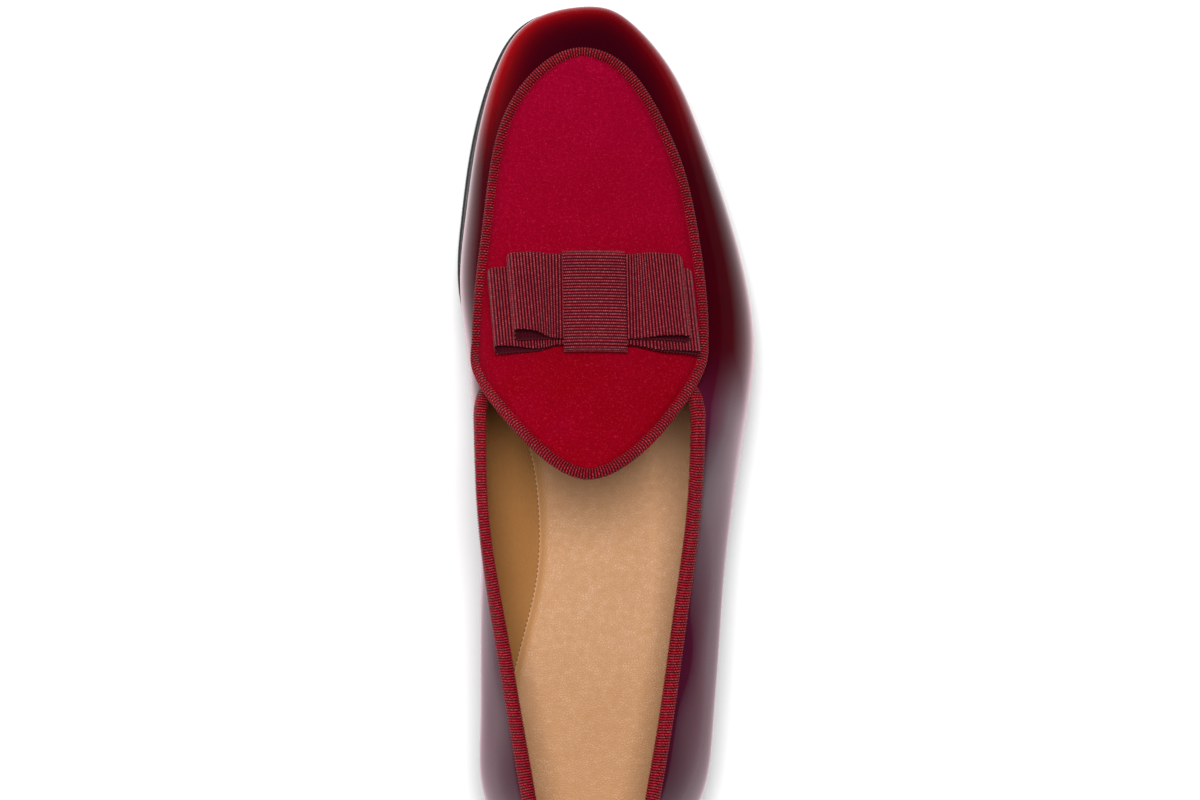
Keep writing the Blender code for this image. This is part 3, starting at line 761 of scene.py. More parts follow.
@dataclass(frozen=True)
class Grosgrain:
    """Ribbed ribbon: painted shade between its ribs, painted highlights on the threads along their tops."""

    use: RibbonUse
    # Painted shade in the grooves, also used for random darker patches; then the ribbon's own red, a painted
    # highlight on rib tops and a painted glint.
    valley: Colour
    body: Colour
    crest: Colour
    glint: Colour
    glint_share: float

    def build(self, effects: Effects) -> bpy.types.Material:
        """Makes the material.

        Args:
            effects: The shared node groups.

        Returns:
            The material.
        """
        name, rib, thread = self.use.value
        material, w, shader = start_material(name)
        weave = w.add("Group", {"Rib": rib, "Thread": thread}, node_tree=effects.weave)
        place = w.add("TexCoord").outputs["Object"]
        fleck = w.add("TexNoise", {"Vector": place, "Scale": 1500.0, "Detail": 2.0}).outputs["Fac"]
        cloud = effects.patches(w, 60.0, 1.8)
        raised = w.between(weave.outputs["Crest"], 0.05, 0.6, 0.0, 1.0)
        # Painted shade: the grooves between the ribs are coloured darker.
        colour = w.blend(raised, opaque(self.valley), opaque(self.body))
        bead = w.between(weave.outputs["Thread Top"], 0.25, 0.85, 0.0, 1.0)
        tops = w.maths("MULTIPLY", bead, w.between(weave.outputs["Crest"], 0.35, 0.9, 0.0, 1.0))
        # Painted highlight: the threads on the rib tops are coloured lighter.
        colour = w.blend(w.maths("MULTIPLY", tops, 0.8), colour, opaque(self.crest))
        # Painted glints on some of the rib tops.
        spark = w.maths("MULTIPLY", w.between(fleck, 0.46, 0.66, 0.0, self.glint_share), tops)
        colour = w.blend(spark, colour, opaque(self.glint))
        colour = w.blend(w.maths("MULTIPLY", cloud, 0.25), colour, opaque(self.valley))
        bump = w.bump(weave.outputs["Height"], 0.9, 0.00022)
        w.feed(shader, Base_Color=colour, Normal=bump)
        set_plain(shader, Roughness=0.6, Sheen_Weight=0.02, Sheen_Roughness=0.35, Specular_IOR_Level=0.10)
        return material


@dataclass(frozen=True)
class TanLeather:
    """Natural calf, for the insole and for the lining of the walls."""

    name: str
    tan: Colour
    shade: Colour
    roughness: float = 0.42

    def build(self, effects: Effects) -> bpy.types.Material:
        """Makes the material.

        Args:
            effects: The shared node groups.

        Returns:
            The material.
        """
        material, w, shader = start_material(self.name)
        cloud = effects.patches(w, 34.0, 1.8)
        fine = effects.patches(w, 420.0, 2.4)
        grain = effects.pores(w, 1150.0, 1.1)
        colour = w.blend(w.maths("MULTIPLY", cloud, 0.45), opaque(self.tan), opaque(self.shade))
        colour = w.blend(w.maths("MULTIPLY", fine, 0.22), colour, opaque(self.shade))
        colour = w.blend(w.maths("MULTIPLY", grain.outputs["Pores"], 0.12), colour, opaque(self.shade))
        bump = w.bump(grain.outputs["Height"], 0.28, 0.00018)
        rough = w.between(fine, 0.0, 1.0, self.roughness, self.roughness + 0.14)
        w.feed(shader, Base_Color=colour, Roughness=rough, Normal=bump)
        set_plain(shader, Specular_IOR_Level=0.4)
        return material


@dataclass(frozen=True)
class SoleLeather:
    """Black inked leather, waxed on the edge and a little duller underneath."""

    name: str = "black_sole_leather"
    ink: Colour = (0.006, 0.0055, 0.0055)
    worn: Colour = (0.030, 0.024, 0.020)
    roughness: float = 0.3

    def build(self, effects: Effects) -> bpy.types.Material:
        """Makes the material.

        Args:
            effects: The shared node groups.

        Returns:
            The material.
        """
        material, w, shader = start_material(self.name)
        cloud = effects.patches(w, 70.0, 2.4)
        grain = effects.pores(w, 1500.0, 1.6)
        colour = w.blend(w.maths("MULTIPLY", cloud, 0.4), opaque(self.ink), opaque(self.worn))
        bump = w.bump(grain.outputs["Height"], 0.2, 0.0002)
        rough = w.between(cloud, 0.0, 1.0, self.roughness, self.roughness + 0.2)
        w.feed(shader, Base_Color=colour, Roughness=rough, Normal=bump)
        return material


@dataclass(frozen=True)
class SewingThread:
    """Waxed thread, darker in fine random patches."""

    name: str
    colour: Colour
    groove: Colour

    def build(self, effects: Effects) -> bpy.types.Material:
        """Makes the material.

        Args:
            effects: The shared node groups.

        Returns:
            The material.
        """
        material, w, shader = start_material(self.name)
        fine = effects.patches(w, 3000.0, 2.5)
        colour = w.blend(fine, opaque(self.colour), opaque(self.groove))
        w.feed(shader, Base_Color=colour, Roughness=w.between(fine, 0.0, 1.0, 0.45, 0.65))
        return material


@dataclass(frozen=True)
class Wardrobe:
    """Every finish of the shoe, built once."""

    polished: bpy.types.Material
    suede: bpy.types.Material
    bow: bpy.types.Material
    binding: bpy.types.Material
    sock: bpy.types.Material
    lining: bpy.types.Material
    sole: bpy.types.Material
    rubber: bpy.types.Material
    tan_thread: bpy.types.Material

    @classmethod
    def build(cls, effects: Effects) -> "Wardrobe":
        """Makes every material from the shared effects."""
        # Each ribbon's colours: painted shade in the grooves, its own red, painted highlight on the rib tops,
        # painted glint, and the glints' share.
        bow = Grosgrain(RibbonUse.BOW, (0.034, 0.0006, 0.0045), (0.122, 0.0018, 0.0085),
                        (0.430, 0.0270, 0.0520), (0.600, 0.1500, 0.1400), 0.6)
        binding = Grosgrain(RibbonUse.BINDING, (0.017, 0.0004, 0.0026), (0.215, 0.0012, 0.0085),
                            (0.500, 0.0110, 0.0280), (0.780, 0.1300, 0.1350), 0.5)
        return cls(
            polished=PolishedLeather().build(effects),
            suede=Suede().build(effects),
            bow=bow.build(effects),
            binding=binding.build(effects),
            sock=TanLeather("insole_calf", (0.485, 0.240, 0.094), (0.380, 0.172, 0.058)).build(effects),
            # The lining's tan is a little more golden than the insole's and darker: painted shade for the
            # inside of the walls.
            lining=TanLeather("lining_calf", (0.400, 0.190, 0.062), (0.310, 0.125, 0.028)).build(effects),
            sole=SoleLeather().build(effects),
            rubber=SoleLeather("black_rubber", (0.010, 0.010, 0.010), (0.022, 0.021, 0.020),
                               0.6).build(effects),
            tan_thread=SewingThread("tan_thread", (0.20, 0.10, 0.035), (0.10, 0.045, 0.015)).build(effects),
        )


# The shoe's pieces

@dataclass
class Upper:
    """Vamp and quarters: one polished shell, lined, open at the topline and underneath."""

    form: FootForm
    wall: float = WALL
    half_stations: int = 250
    rows_below: int = 12
    rows_above: int = 46
    throat_crowding: float = 1.6
    throat_crowding_length: float = 14.0
    round_length: float = 750.0  # about the outline's length, to turn u into millimetres
    seam_depth: float = 0.22
    seam_half_width: float = 0.5
    ridge_from_seam: float = 1.6
    ridge_half_width: float = 0.9
    lasting_pleat: float = 0.05
    pleat_length: float = 1.1
    pleat_fade: float = 2.6
    quarter_height: float = 48.0
    quarter_wave: float = 0.16
    wave_length: float = 11.0
    binding_press: float = 0.14
    press_below_edge: float = 4.2
    press_half_width: float = 1.1
    # Painted light: brighter red where light falls on the toe's inner side, the outer joint and the heel.
    toe_glow: float = 0.85
    toe_glow_y: tuple[float, float] = (84.0, 128.0)
    joint_glow: float = 0.36
    joint_glow_y: float = 26.0
    heel_glow: float = 0.22
    heel_glow_y: float = -92.0
    glow_length: float = 30.0
    # Painted shade: darker beside the apron, at the feather edge and along the topline.
    crest_burnish: float = 0.75
    feather_burnish: float = 0.5
    topline_burnish: float = 0.45
    fresh_y: tuple[float, float] = (34.0, 4.0)

    def places(self) -> tuple[Array, Array]:
        """Gives the stations round the form, in mirrored pairs, and the heights up each rib."""
        fine = np.linspace(0, 0.5, 2001)
        throat = self.form.throat_y - 10
        near_throat = hump(self.form.of("y", fine), throat, self.throat_crowding_length)
        run = np.concatenate([[0], np.cumsum(1 + self.throat_crowding * near_throat[1:])])
        half = np.interp(np.linspace(0, run[-1], self.half_stations), run, fine)
        below = np.linspace(-1, 0, self.rows_below)
        above = np.linspace(0, 1, self.rows_above)[1:]
        return np.concatenate([half, 1 - half[-2:0:-1]]), np.concatenate([below, above])

    def relief(self, u: Array, t: Array, points: Array) -> Array:
        """Gives the leather's soft troughs and ridges, in millimetres outwards.

        Args:
            u: Place round the form.
            t: Height up the rib.
            points: The smooth surface there.

        Returns:
            The height of the relief.
        """
        y, z = points[..., 1], points[..., 2]
        on_quarter = smooth_step(y, 14, 4)
        from_seam = (u - 0.5) * self.round_length
        trough = hump(from_seam, 0, self.seam_half_width)
        ridges = hump(np.abs(from_seam), self.ridge_from_seam, self.ridge_half_width)
        seam = self.seam_depth * (0.4 * ridges - trough)
        run = u * self.round_length
        pleats = np.sin(run / self.pleat_length) + 0.6 * np.sin(run / 0.7 + 1)
        gathered = np.clip(hump(y, 140, 34) + hump(y, -140, 26), 0, 1)
        above_sole = z - self.form.feather_z(y)
        lasting = self.lasting_pleat * pleats * gathered * np.exp(-above_sole / self.pleat_fade)
        wave = np.sin(y / self.wave_length + 1.7 * t) + 0.7 * np.sin(y / 6.3 - 2.1 * t + 2)
        quarter = self.quarter_wave * wave * on_quarter * hump(t, 0.62, 0.24)
        below_edge = (1 - t) * self.quarter_height
        pressed = hump(below_edge, self.press_below_edge, self.press_half_width)
        return seam + lasting + quarter - self.binding_press * on_quarter * pressed

    def dye(self, points: Array) -> dict[str, Array]:
        """Gives, from 0 to 1, where light is painted as a brighter red, where shade is painted darker, and
        where the quarters' polish is fresh.
        """
        x, y, z = points[..., 0], points[..., 1], points[..., 2]
        feather = self.form.feather_z(y)
        height = np.clip((z - feather) / (self.form.of("crown", y) - feather), 0, 1)
        # Painted light: brighter red where light falls, strongest on the toe's inner side.
        inner_side = 1.0 - 0.45 * smooth_step(x, -14, 16)
        toe = smooth_step(y, *self.toe_glow_y) * inner_side * hump(height, 0.48, 0.26)
        joint = hump(y, self.joint_glow_y, self.glow_length) * (x > 0) * hump(height, 0.34, 0.12)
        heel = hump(y, self.heel_glow_y, self.glow_length) * hump(height, 0.30, 0.14)
        glow = self.toe_glow * toe + self.joint_glow * joint + self.heel_glow * heel
        # Painted shade: darker where shade falls beside the apron, at the feather edge and along the topline.
        beside_apron = smooth_step(height, 0.62, 0.92) * smooth_step(y, 10, 30)
        at_feather = smooth_step(height, 0.14, 0.0)
        at_topline = smooth_step(y, 6, -10) * smooth_step(z, 40, 56)
        burnish = self.crest_burnish * beside_apron + self.feather_burnish * at_feather
        burnish = burnish + self.topline_burnish * at_topline
        return {"glow": np.clip(glow, 0, 1), "burnish": np.clip(burnish, 0, 1),
                "fresh": smooth_step(y, *self.fresh_y)}

    def build(self, wardrobe: Wardrobe) -> bpy.types.Object:
        """Makes the shell.

        Args:
            wardrobe: The finishes.

        Returns:
            The upper.
        """
        around, heights = self.places()
        u, t = np.meshgrid(around, heights, indexing="ij")
        grid = self.form.point(u, t)
        normals = grid_normals(grid, closed_rows=True)
        values = self.dye(grid)
        hold = np.where(t >= 0.999, 0.0, 1.0)
        grid = grid + normals * (self.relief(u, t, grid) * hold)[..., None]
        grid[:, 0, 2] += GAP
        points = grid.reshape(-1, 3)
        used, faces = welded(points, grid_faces(*u.shape, closed_rows=True)[:, ::-1])
        values = {k: v.reshape(-1)[used] for k, v in values.items()}
        piece = Piece("upper_shell", points[used], faces, self.form, values=values)
        shell = piece.place([wardrobe.polished, wardrobe.lining])
        thicken(shell, self.wall, -1, inside=1, rim=1)
        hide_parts("upper")
        return shell


@dataclass
class Plate:
    """A flat piece under the foot, with rounded edges: rings from the centre line out and back."""

    form: FootForm
    name: str
    node: str
    finish: Finish
    inset: Callable[[Array], Array]
    top_inset: Callable[[Array], Array]
    low: Callable[[Array], Array]
    high: Callable[[Array], Array]
    low_steps: Sequence[tuple[float, float]]  # (mm in from the edge, mm up from the underside)
    high_steps: Sequence[tuple[float, float]]  # (mm in from the edge, mm down from the top)
    shares: Sequence[float] = (0, 0.25, 0.5, 0.7, 0.85)
    stations: int = 360

    def build(self, material: bpy.types.Material) -> bpy.types.Object:
        """Makes the plate.

        Args:
            material: Its finish.

        Returns:
            The plate.
        """
        half = np.linspace(0, 0.5, self.stations // 2)
        u = np.concatenate([half, 1 - half[-2:0:-1]])
        x, y, dx, dy, length = self.form.rib(u)
        inset, top_inset = self.inset(u), self.top_inset(u)
        rings = []

        def ring(run: Array, height: Callable[[Array], Array], up: float) -> None:
            """Adds the ring at a run in from the outline."""
            px, py = x + dx * run, y + dy * run
            rings.append(np.stack([px, py, height(py) + up], axis=-1))

        for share in self.shares:
            ring(length + (inset - length) * share, self.low, 0.0)
        for inward, up in self.low_steps:
            ring(inset + inward, self.low, up)
        for inward, down in self.high_steps:
            ring(top_inset + inward, self.high, -down)
        for share in self.shares[::-1]:
            ring(length + (top_inset - length) * share, self.high, 0.0)
        points = np.concatenate(rings)
        used, faces = welded(points, grid_faces(len(rings), len(u), closed_columns=True))
        plate = Piece(self.name, points[used], faces, self.form).place([material])
        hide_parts(self.node)
        return plate


@dataclass
class Bottom:
    """Outsole, heel and insole."""

    form: FootForm
    wall: float = WALL
    gap: float = GAP
    insole_thickness: float = 2.4
    insole_clearance: float = 0.2
    insole_cup: float = 1.4
    top_piece_thickness: float = 4.0
    breast_hollow: float = 3.0
    heel_stations: int = 150
    breast_stations: int = 40
    lift_groove: float = 0.25
    stitch_pitch: float = 1.7
    stitch_inset: float = 0.3
    stitch_share: float = 0.72  # of the pitch, the rest being the step between two stitches
    stitch_radius: float = 0.15
    stitch_sag: float = 0.26

    def outsole(self, wardrobe: Wardrobe) -> bpy.types.Object:
        """Makes the sole: rounded edge, and underneath the closed channel of its stitching."""
        form = self.form
        plate = Plate(
            form, "sole", "outsole", Finish.SOLE_LEATHER,
            inset=lambda u: form.of("edge", u), top_inset=lambda u: form.of("edge", u),
            low=form.under_z, high=form.feather_z,
            low_steps=((6.5, 0), (5.9, 0), (5.6, 0.25), (5.3, 0), (2, 0), (0.75, 0.03), (0.3, 0.2),
                       (0.08, 0.5), (0, 1)),
            high_steps=((0, 1.3), (0.05, 0.8), (0.2, 0.35), (0.45, 0.08), (0.9, 0), (4, 0)),
            stations=520, shares=(0, 0.25, 0.5),
        )
        return plate.build(wardrobe.sole)

    def wall_inside(self, u: Array, height: float) -> Array:
        """Gives how far in from the outline the wall's inside lies, this high above the feather edge."""
        below = np.clip(1 - height / self.form.of("belly", u), 0, 1)
        slope = 2 * self.form.of("tuck", u) * below / self.form.of("belly", u)
        return self.form.of("tuck", u) * below**2 + self.wall * np.hypot(1, slope)

    def insole_edge(self, u: Array) -> Array:
        """Gives how far in from the outline the edge of the insole's underside lies."""
        return self.wall_inside(u, self.gap) + self.insole_clearance

    def insole_rim(self, u: Array) -> Array:
        """Gives how far in from the outline the rim of the insole's top lies."""
        height = self.gap + self.insole_thickness + self.insole_cup
        return self.wall_inside(u, height) + self.insole_clearance

    def insole_top(self, y: Array) -> Array:
        """Gives the height of the insole's top."""
        return self.form.feather_z(y) + self.gap + self.insole_thickness

    def insole(self, wardrobe: Wardrobe) -> bpy.types.Object:
        """Makes the footbed, its edge rolled down against the wall."""
        cup = self.insole_cup
        plate = Plate(
            self.form, "footbed", "insole", Finish.LINING_LEATHER,
            inset=self.insole_edge, top_inset=self.insole_rim,
            low=lambda y: self.form.feather_z(y) + self.gap, high=self.insole_top,
            low_steps=((0.5, 0), (0, 0.4)),
            high_steps=((0, 0.6 - cup), (0.1, 0.25 - cup), (0.35, 0.1 - cup), (0.8, 0.22 - cup),
                        (1.4, -0.8), (2.1, -0.45), (2.9, -0.2), (3.8, -0.06)),
            stations=420, shares=(0, 0.25, 0.5, 0.7),
        )
        return plate.build(wardrobe.sock)

    def insole_stitches(self, wardrobe: Wardrobe) -> bpy.types.Object:
        """Makes the row of small stitches along the footbed's edge, one joined mesh."""
        u = np.linspace(0, 1, 4001)
        x, y, dx, dy, _ = self.form.rib(u)
        run = self.insole_rim(u) + self.stitch_inset
        height = self.insole_top(y + dy * run) + self.insole_cup - 0.1
        line = np.stack([x + dx * run, y + dy * run, height], axis=-1)
        length = np.concatenate([[0], np.cumsum(np.linalg.norm(np.diff(line, axis=0), axis=1))])
        count = int(length[-1] / self.stitch_pitch)
        points, faces = [], []
        half = self.stitch_share / 2 * self.stitch_pitch
        rings, sides = 5, 6
        turns = np.linspace(0, 2 * math.pi, sides + 1)[:-1]
        last = (rings - 1) * sides
        for i in range(count):
            middle = (i + 0.5) * length[-1] / count
            steps = middle + np.linspace(-1, 1, rings) * half
            spine = np.stack([np.interp(steps, length, line[:, k]) for k in range(3)], axis=-1)
            spine[:, 2] += 0.10 - self.stitch_sag * np.linspace(-1, 1, rings) ** 4
            along = unit(spine[-1] - spine[0])
            side = np.cross(along, [0, 0, 1])
            round_end = np.clip(1 - np.linspace(-0.93, 0.93, rings) ** 2, 0.05, 1)
            start = len(points)
            points.extend(
                centre + radius * (side * np.cos(turn) + np.array([0, 0, 1]) * np.sin(turn) * 0.7)
                for centre, radius in zip(spine, self.stitch_radius * np.sqrt(round_end))
                for turn in turns
            )
            faces.extend((grid_faces(rings, sides, closed_columns=True) + start).tolist())
            faces.append(list(range(start, start + sides)))
            faces.append(list(range(start + last, start + last + sides))[::-1])
        piece = Piece("footbed_stitches", np.array(points), faces, self.form)
        stitches = piece.place([wardrobe.tan_thread])
        return stitches

    def heel(self, name: str, node: str, finish: Finish, profile: Sequence[tuple[float, float]],
             material: bpy.types.Material) -> bpy.types.Object:
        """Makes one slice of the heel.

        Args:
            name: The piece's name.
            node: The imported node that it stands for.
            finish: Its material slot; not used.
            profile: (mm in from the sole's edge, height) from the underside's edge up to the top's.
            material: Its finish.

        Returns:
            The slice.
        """
        around = np.linspace(0, 1, 2001)
        x, y, dx, dy, _ = self.form.rib(around)
        loops = []
        for inset, height in profile:
            edge = self.form.of("edge", around) + inset
            px, py = x + dx * edge, y + dy * edge
            behind = np.flatnonzero(py < self.form.heel_breast_y - inset * 0.5)
            chosen = behind[np.linspace(0, len(behind) - 1, self.heel_stations).round().astype(int)]
            share = np.linspace(0, 1, self.breast_stations + 2)[1:-1]
            first, last = (np.array([px[i], py[i]]) for i in (chosen[0], chosen[-1]))
            breast = last + (first - last) * share[:, None]
            breast[:, 1] -= self.breast_hollow * 4 * share * (1 - share)
            plan = np.concatenate([np.stack([px[chosen], py[chosen]], axis=-1), breast])
            loops.append(np.column_stack([plan, np.full(len(plan), height)]))
        count = len(loops[0])
        faces = grid_faces(len(loops), count, closed_columns=True)[:, ::-1].tolist()
        faces.append(list(range(count)))
        faces.append([(len(loops) - 1) * count + i for i in range(count)][::-1])
        slice_ = Piece(name, np.concatenate(loops), faces, self.form).place([material], sharp=35)
        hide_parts(node)
        return slice_

    def heel_slices(self, wardrobe: Wardrobe) -> list[bpy.types.Object]:
        """Makes the rubber top piece and the stack of lifts over it."""
        low = self.top_piece_thickness
        rubber = [(1.0, 0.0), (0.75, 0.12), (0.62, 0.4),
                  (0.6, low - 0.3), (0.7, low - 0.1), (0.95, low)]
        bottom, top = low + self.gap, self.form.heel_height - self.gap
        middle, groove = (bottom + top) / 2, self.lift_groove
        stack = [(0.8, bottom), (0.45, bottom + 0.15), (0.3, bottom + 0.5),
                 (0.3, middle - 0.3), (0.3 + groove, middle), (0.3, middle + 0.3),
                 (0.3, top - 0.4), (0.45, top - 0.12), (0.8, top)]
        return [
            self.heel("heel_top", "heel_top_piece", Finish.RUBBER, rubber, wardrobe.rubber),
            self.heel("heel_lifts", "heel_stack", Finish.SOLE_LEATHER, stack, wardrobe.sole),
        ]

    def build(self, wardrobe: Wardrobe) -> None:
        """Makes every piece under the foot."""
        self.outsole(wardrobe)
        self.heel_slices(wardrobe)
        self.insole(wardrobe)
        self.insole_stitches(wardrobe)


@dataclass
class ApronShape:
    """The apron's outline in plan, and its height over the form."""

    form: FootForm
    gap: float = GAP
    tab_lift: float = 1.1
    tab_lift_from_y: float = 34.0
    tab_lift_to_y: float = 22.0
    thickness: float = 1.6
    binding_width: float = 3.7
    front: tuple[float, float] = (-2.6, 129.6)
    back: tuple[float, float] = (-0.4, -13.3)
    outer: tuple[tuple[float, float], ...] = (
        (6.6, 127.3), (14.0, 121.3), (19.4, 114), (24.9, 103.6), (30.1, 91), (34.6, 72), (37.8, 48),
        (38.3, 33), (37.3, 25), (34.2, 17.6), (28.2, 8.4), (21.0, -0.4), (13.6, -7.2), (6.4, -11.7),
    )
    inner: tuple[tuple[float, float], ...] = (
        (-11.4, 127.3), (-19.2, 121.3), (-24.9, 114), (-29.7, 103.6), (-32.6, 91), (-34.9, 72), (-37.5, 48),
        (-38.2, 33), (-37.6, 25), (-34.9, 17.6), (-28.6, 8.2), (-21.2, -0.6), (-14.2, -7.2), (-7.2, -11.7),
    )
    curves: dict[str, Curve] = field(default_factory=dict)

    def __post_init__(self) -> None:
        """Lays a closed smooth curve through the outline."""
        loop = [self.front, *self.outer, self.back, *self.inner[::-1]]
        half = len(self.outer) + 1
        pairs = [
            (math.dist(loop[i], loop[i + 1]) + math.dist(loop[-i], loop[-i - 1])) / 2 for i in range(half)
        ]
        knots = np.concatenate([[0], np.cumsum(pairs)]) / (2 * sum(pairs))
        knots = np.concatenate([knots, 1 - knots[-2:0:-1]])
        for axis, name in enumerate("xy"):
            self.curves[name] = smooth_curve(knots, [p[axis] for p in loop], 1.0)

    def edge(self, u: Array, inset: float) -> tuple[Array, Array]:
        """Gives the outline in plan, moved inwards."""
        step = 1e-4
        tx = self.curves["x"](u + step) - self.curves["x"](u - step)
        ty = self.curves["y"](u + step) - self.curves["y"](u - step)
        size = np.hypot(tx, ty)
        return self.curves["x"](u) + ty / size * inset, self.curves["y"](u) - tx / size * inset

    def surface(self, x: Array, y: Array, above: Array | float = 0.0) -> Array:
        """Gives points at the apron's underside, or above it along the form's normal."""
        base = np.stack([x, y, self.form.over(x, y)], axis=-1)
        lift = self.gap + self.tab_lift * smooth_step(y, self.tab_lift_from_y, self.tab_lift_to_y)
        return base + self.form.normal_over(x, y) * (lift + above)[..., None]


def even_steps(line: Array, pitch: float, per_rib: int) -> tuple[Array, Array]:
    """Places steps along a line so that a whole number of ribs fits.

    Args:
        line: Points of the line, close together.
        pitch: Wished distance between ribs, in millimetres.
        per_rib: Steps in one rib.

    Returns:
        For each step its place in the line as an index with a fraction, and its rib number with a fraction.
    """
    run = np.concatenate([[0], np.cumsum(np.linalg.norm(np.diff(line, axis=0), axis=1))])
    ribs = int(round(run[-1] / pitch))
    steps = np.linspace(0, 1, ribs * per_rib + 1)
    return np.interp(steps * run[-1], run, np.arange(len(line))), steps * ribs


def rib_crest(ribs: Array) -> Array:
    """Gives 1 on a rib and 0 in the groove between two."""
    return (0.5 + 0.5 * np.cos(2 * np.pi * ribs)) ** 0.7


@dataclass
class Apron:
    """The suede apron and the ribbed ribbon folded round its edge."""

    shape: ApronShape
    rows: int = 230
    columns: int = 84
    pillow: float = 0.35
    pillow_from_edge: float = 4.5
    pillow_half_width: float = 4.0
    tuck_under: float = 0.7
    tuck_drop: float = 0.8
    binding_height: float = 2.6
    girth: float = 7.4  # round the ribbon's section
    rib_pitch: float = BINDING_RIB
    rib_depth: float = 0.40
    steps_per_rib: int = 5
    section_points: int = 15
    overhang: float = 0.1

    def panel(self, wardrobe: Wardrobe) -> bpy.types.Object:
        """Makes the suede, a little plump beside its binding."""
        inset = self.shape.binding_width - self.tuck_under
        across = np.sin(np.linspace(-math.pi / 2, math.pi / 2, self.columns)) / 2 + 0.5
        sweep = (1 - np.cos(np.linspace(0, math.pi, self.rows))) / 4
        u = 0.5 * (sweep + np.linspace(0, 0.5, self.rows))
        ax, ay = (v[:, None] for v in self.shape.edge(1 - u, inset))
        bx, by = (v[:, None] for v in self.shape.edge(u, inset))
        x, y = ax + (bx - ax) * across, ay + (by - ay) * across
        from_side = np.minimum(across, 1 - across) * np.hypot(bx - ax, by - ay)
        from_end = np.minimum(np.arange(self.rows), np.arange(self.rows)[::-1])[:, None] * 0.9
        from_edge = np.minimum(from_side, from_end + 2.0 * from_side)
        drop = self.tuck_drop * hump(from_edge, 0, 1.2 + self.tuck_under)
        swell = self.pillow * hump(from_edge, self.pillow_from_edge, self.pillow_half_width)
        grid = self.shape.surface(x, y, self.shape.thickness + swell - drop)
        used, faces = welded(grid.reshape(-1, 3), grid_faces(self.rows, self.columns))
        piece = Piece("suede_panel", grid.reshape(-1, 3)[used], faces, self.shape.form)
        panel = piece.place([wardrobe.suede, wardrobe.lining])
        thicken(panel, self.shape.thickness - 0.4, -1, inside=1)
        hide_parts("apron")
        return panel

    def binding(self, wardrobe: Wardrobe) -> bpy.types.Object:
        """Makes the ribbon round the edge, rib by rib."""
        half = self.shape.binding_width / 2
        fine = np.linspace(0, 1, 3001)
        middle_line = np.stack(self.shape.edge(fine, half), axis=-1)
        place, ribs = even_steps(middle_line, self.rib_pitch, self.steps_per_rib)
        u = np.interp(place, np.arange(len(fine)), fine)[:-1]
        x, y = self.shape.edge(u, half)
        centres = self.shape.surface(x, y, np.zeros_like(x))
        normals = self.shape.form.normal_over(x, y)
        along = unit(np.roll(centres, -1, axis=0) - np.roll(centres, 1, axis=0))
        sides = unit(np.cross(along, normals))
        turn = np.linspace(-0.12 * math.pi, 1.12 * math.pi, self.section_points)
        crest = rib_crest(ribs[:-1])[:, None]
        widest = half + self.overhang
        wide = (widest - self.rib_depth * 0.7 * (1 - crest)) * np.cos(turn)
        high = (self.binding_height - self.rib_depth * (1 - crest)) * np.clip(np.sin(turn), 0, 1) ** 0.8
        underside = np.tile([-half * 0.8, half * 0.8], (len(u), 1))
        wide = np.concatenate([wide, underside], axis=1)
        high = np.concatenate([high, np.zeros_like(underside)], axis=1)
        grid = centres[:, None] + sides[:, None] * wide[..., None] + normals[:, None] * high[..., None]
        rows, count = grid.shape[:2]
        faces = grid_faces(rows, count, closed_rows=True, closed_columns=True)
        uv = corner_values(np.linspace(0, self.girth, count + 1), ribs * self.rib_pitch)
        piece = Piece("apron_ribbon", grid.reshape(-1, 3), faces, self.shape.form, uv=uv)
        ribbon = piece.place([wardrobe.binding])
        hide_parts("apron_binding")
        return ribbon

    def build(self, wardrobe: Wardrobe) -> None:
        """Makes the apron's pieces."""
        self.panel(wardrobe)
        self.binding(wardrobe)


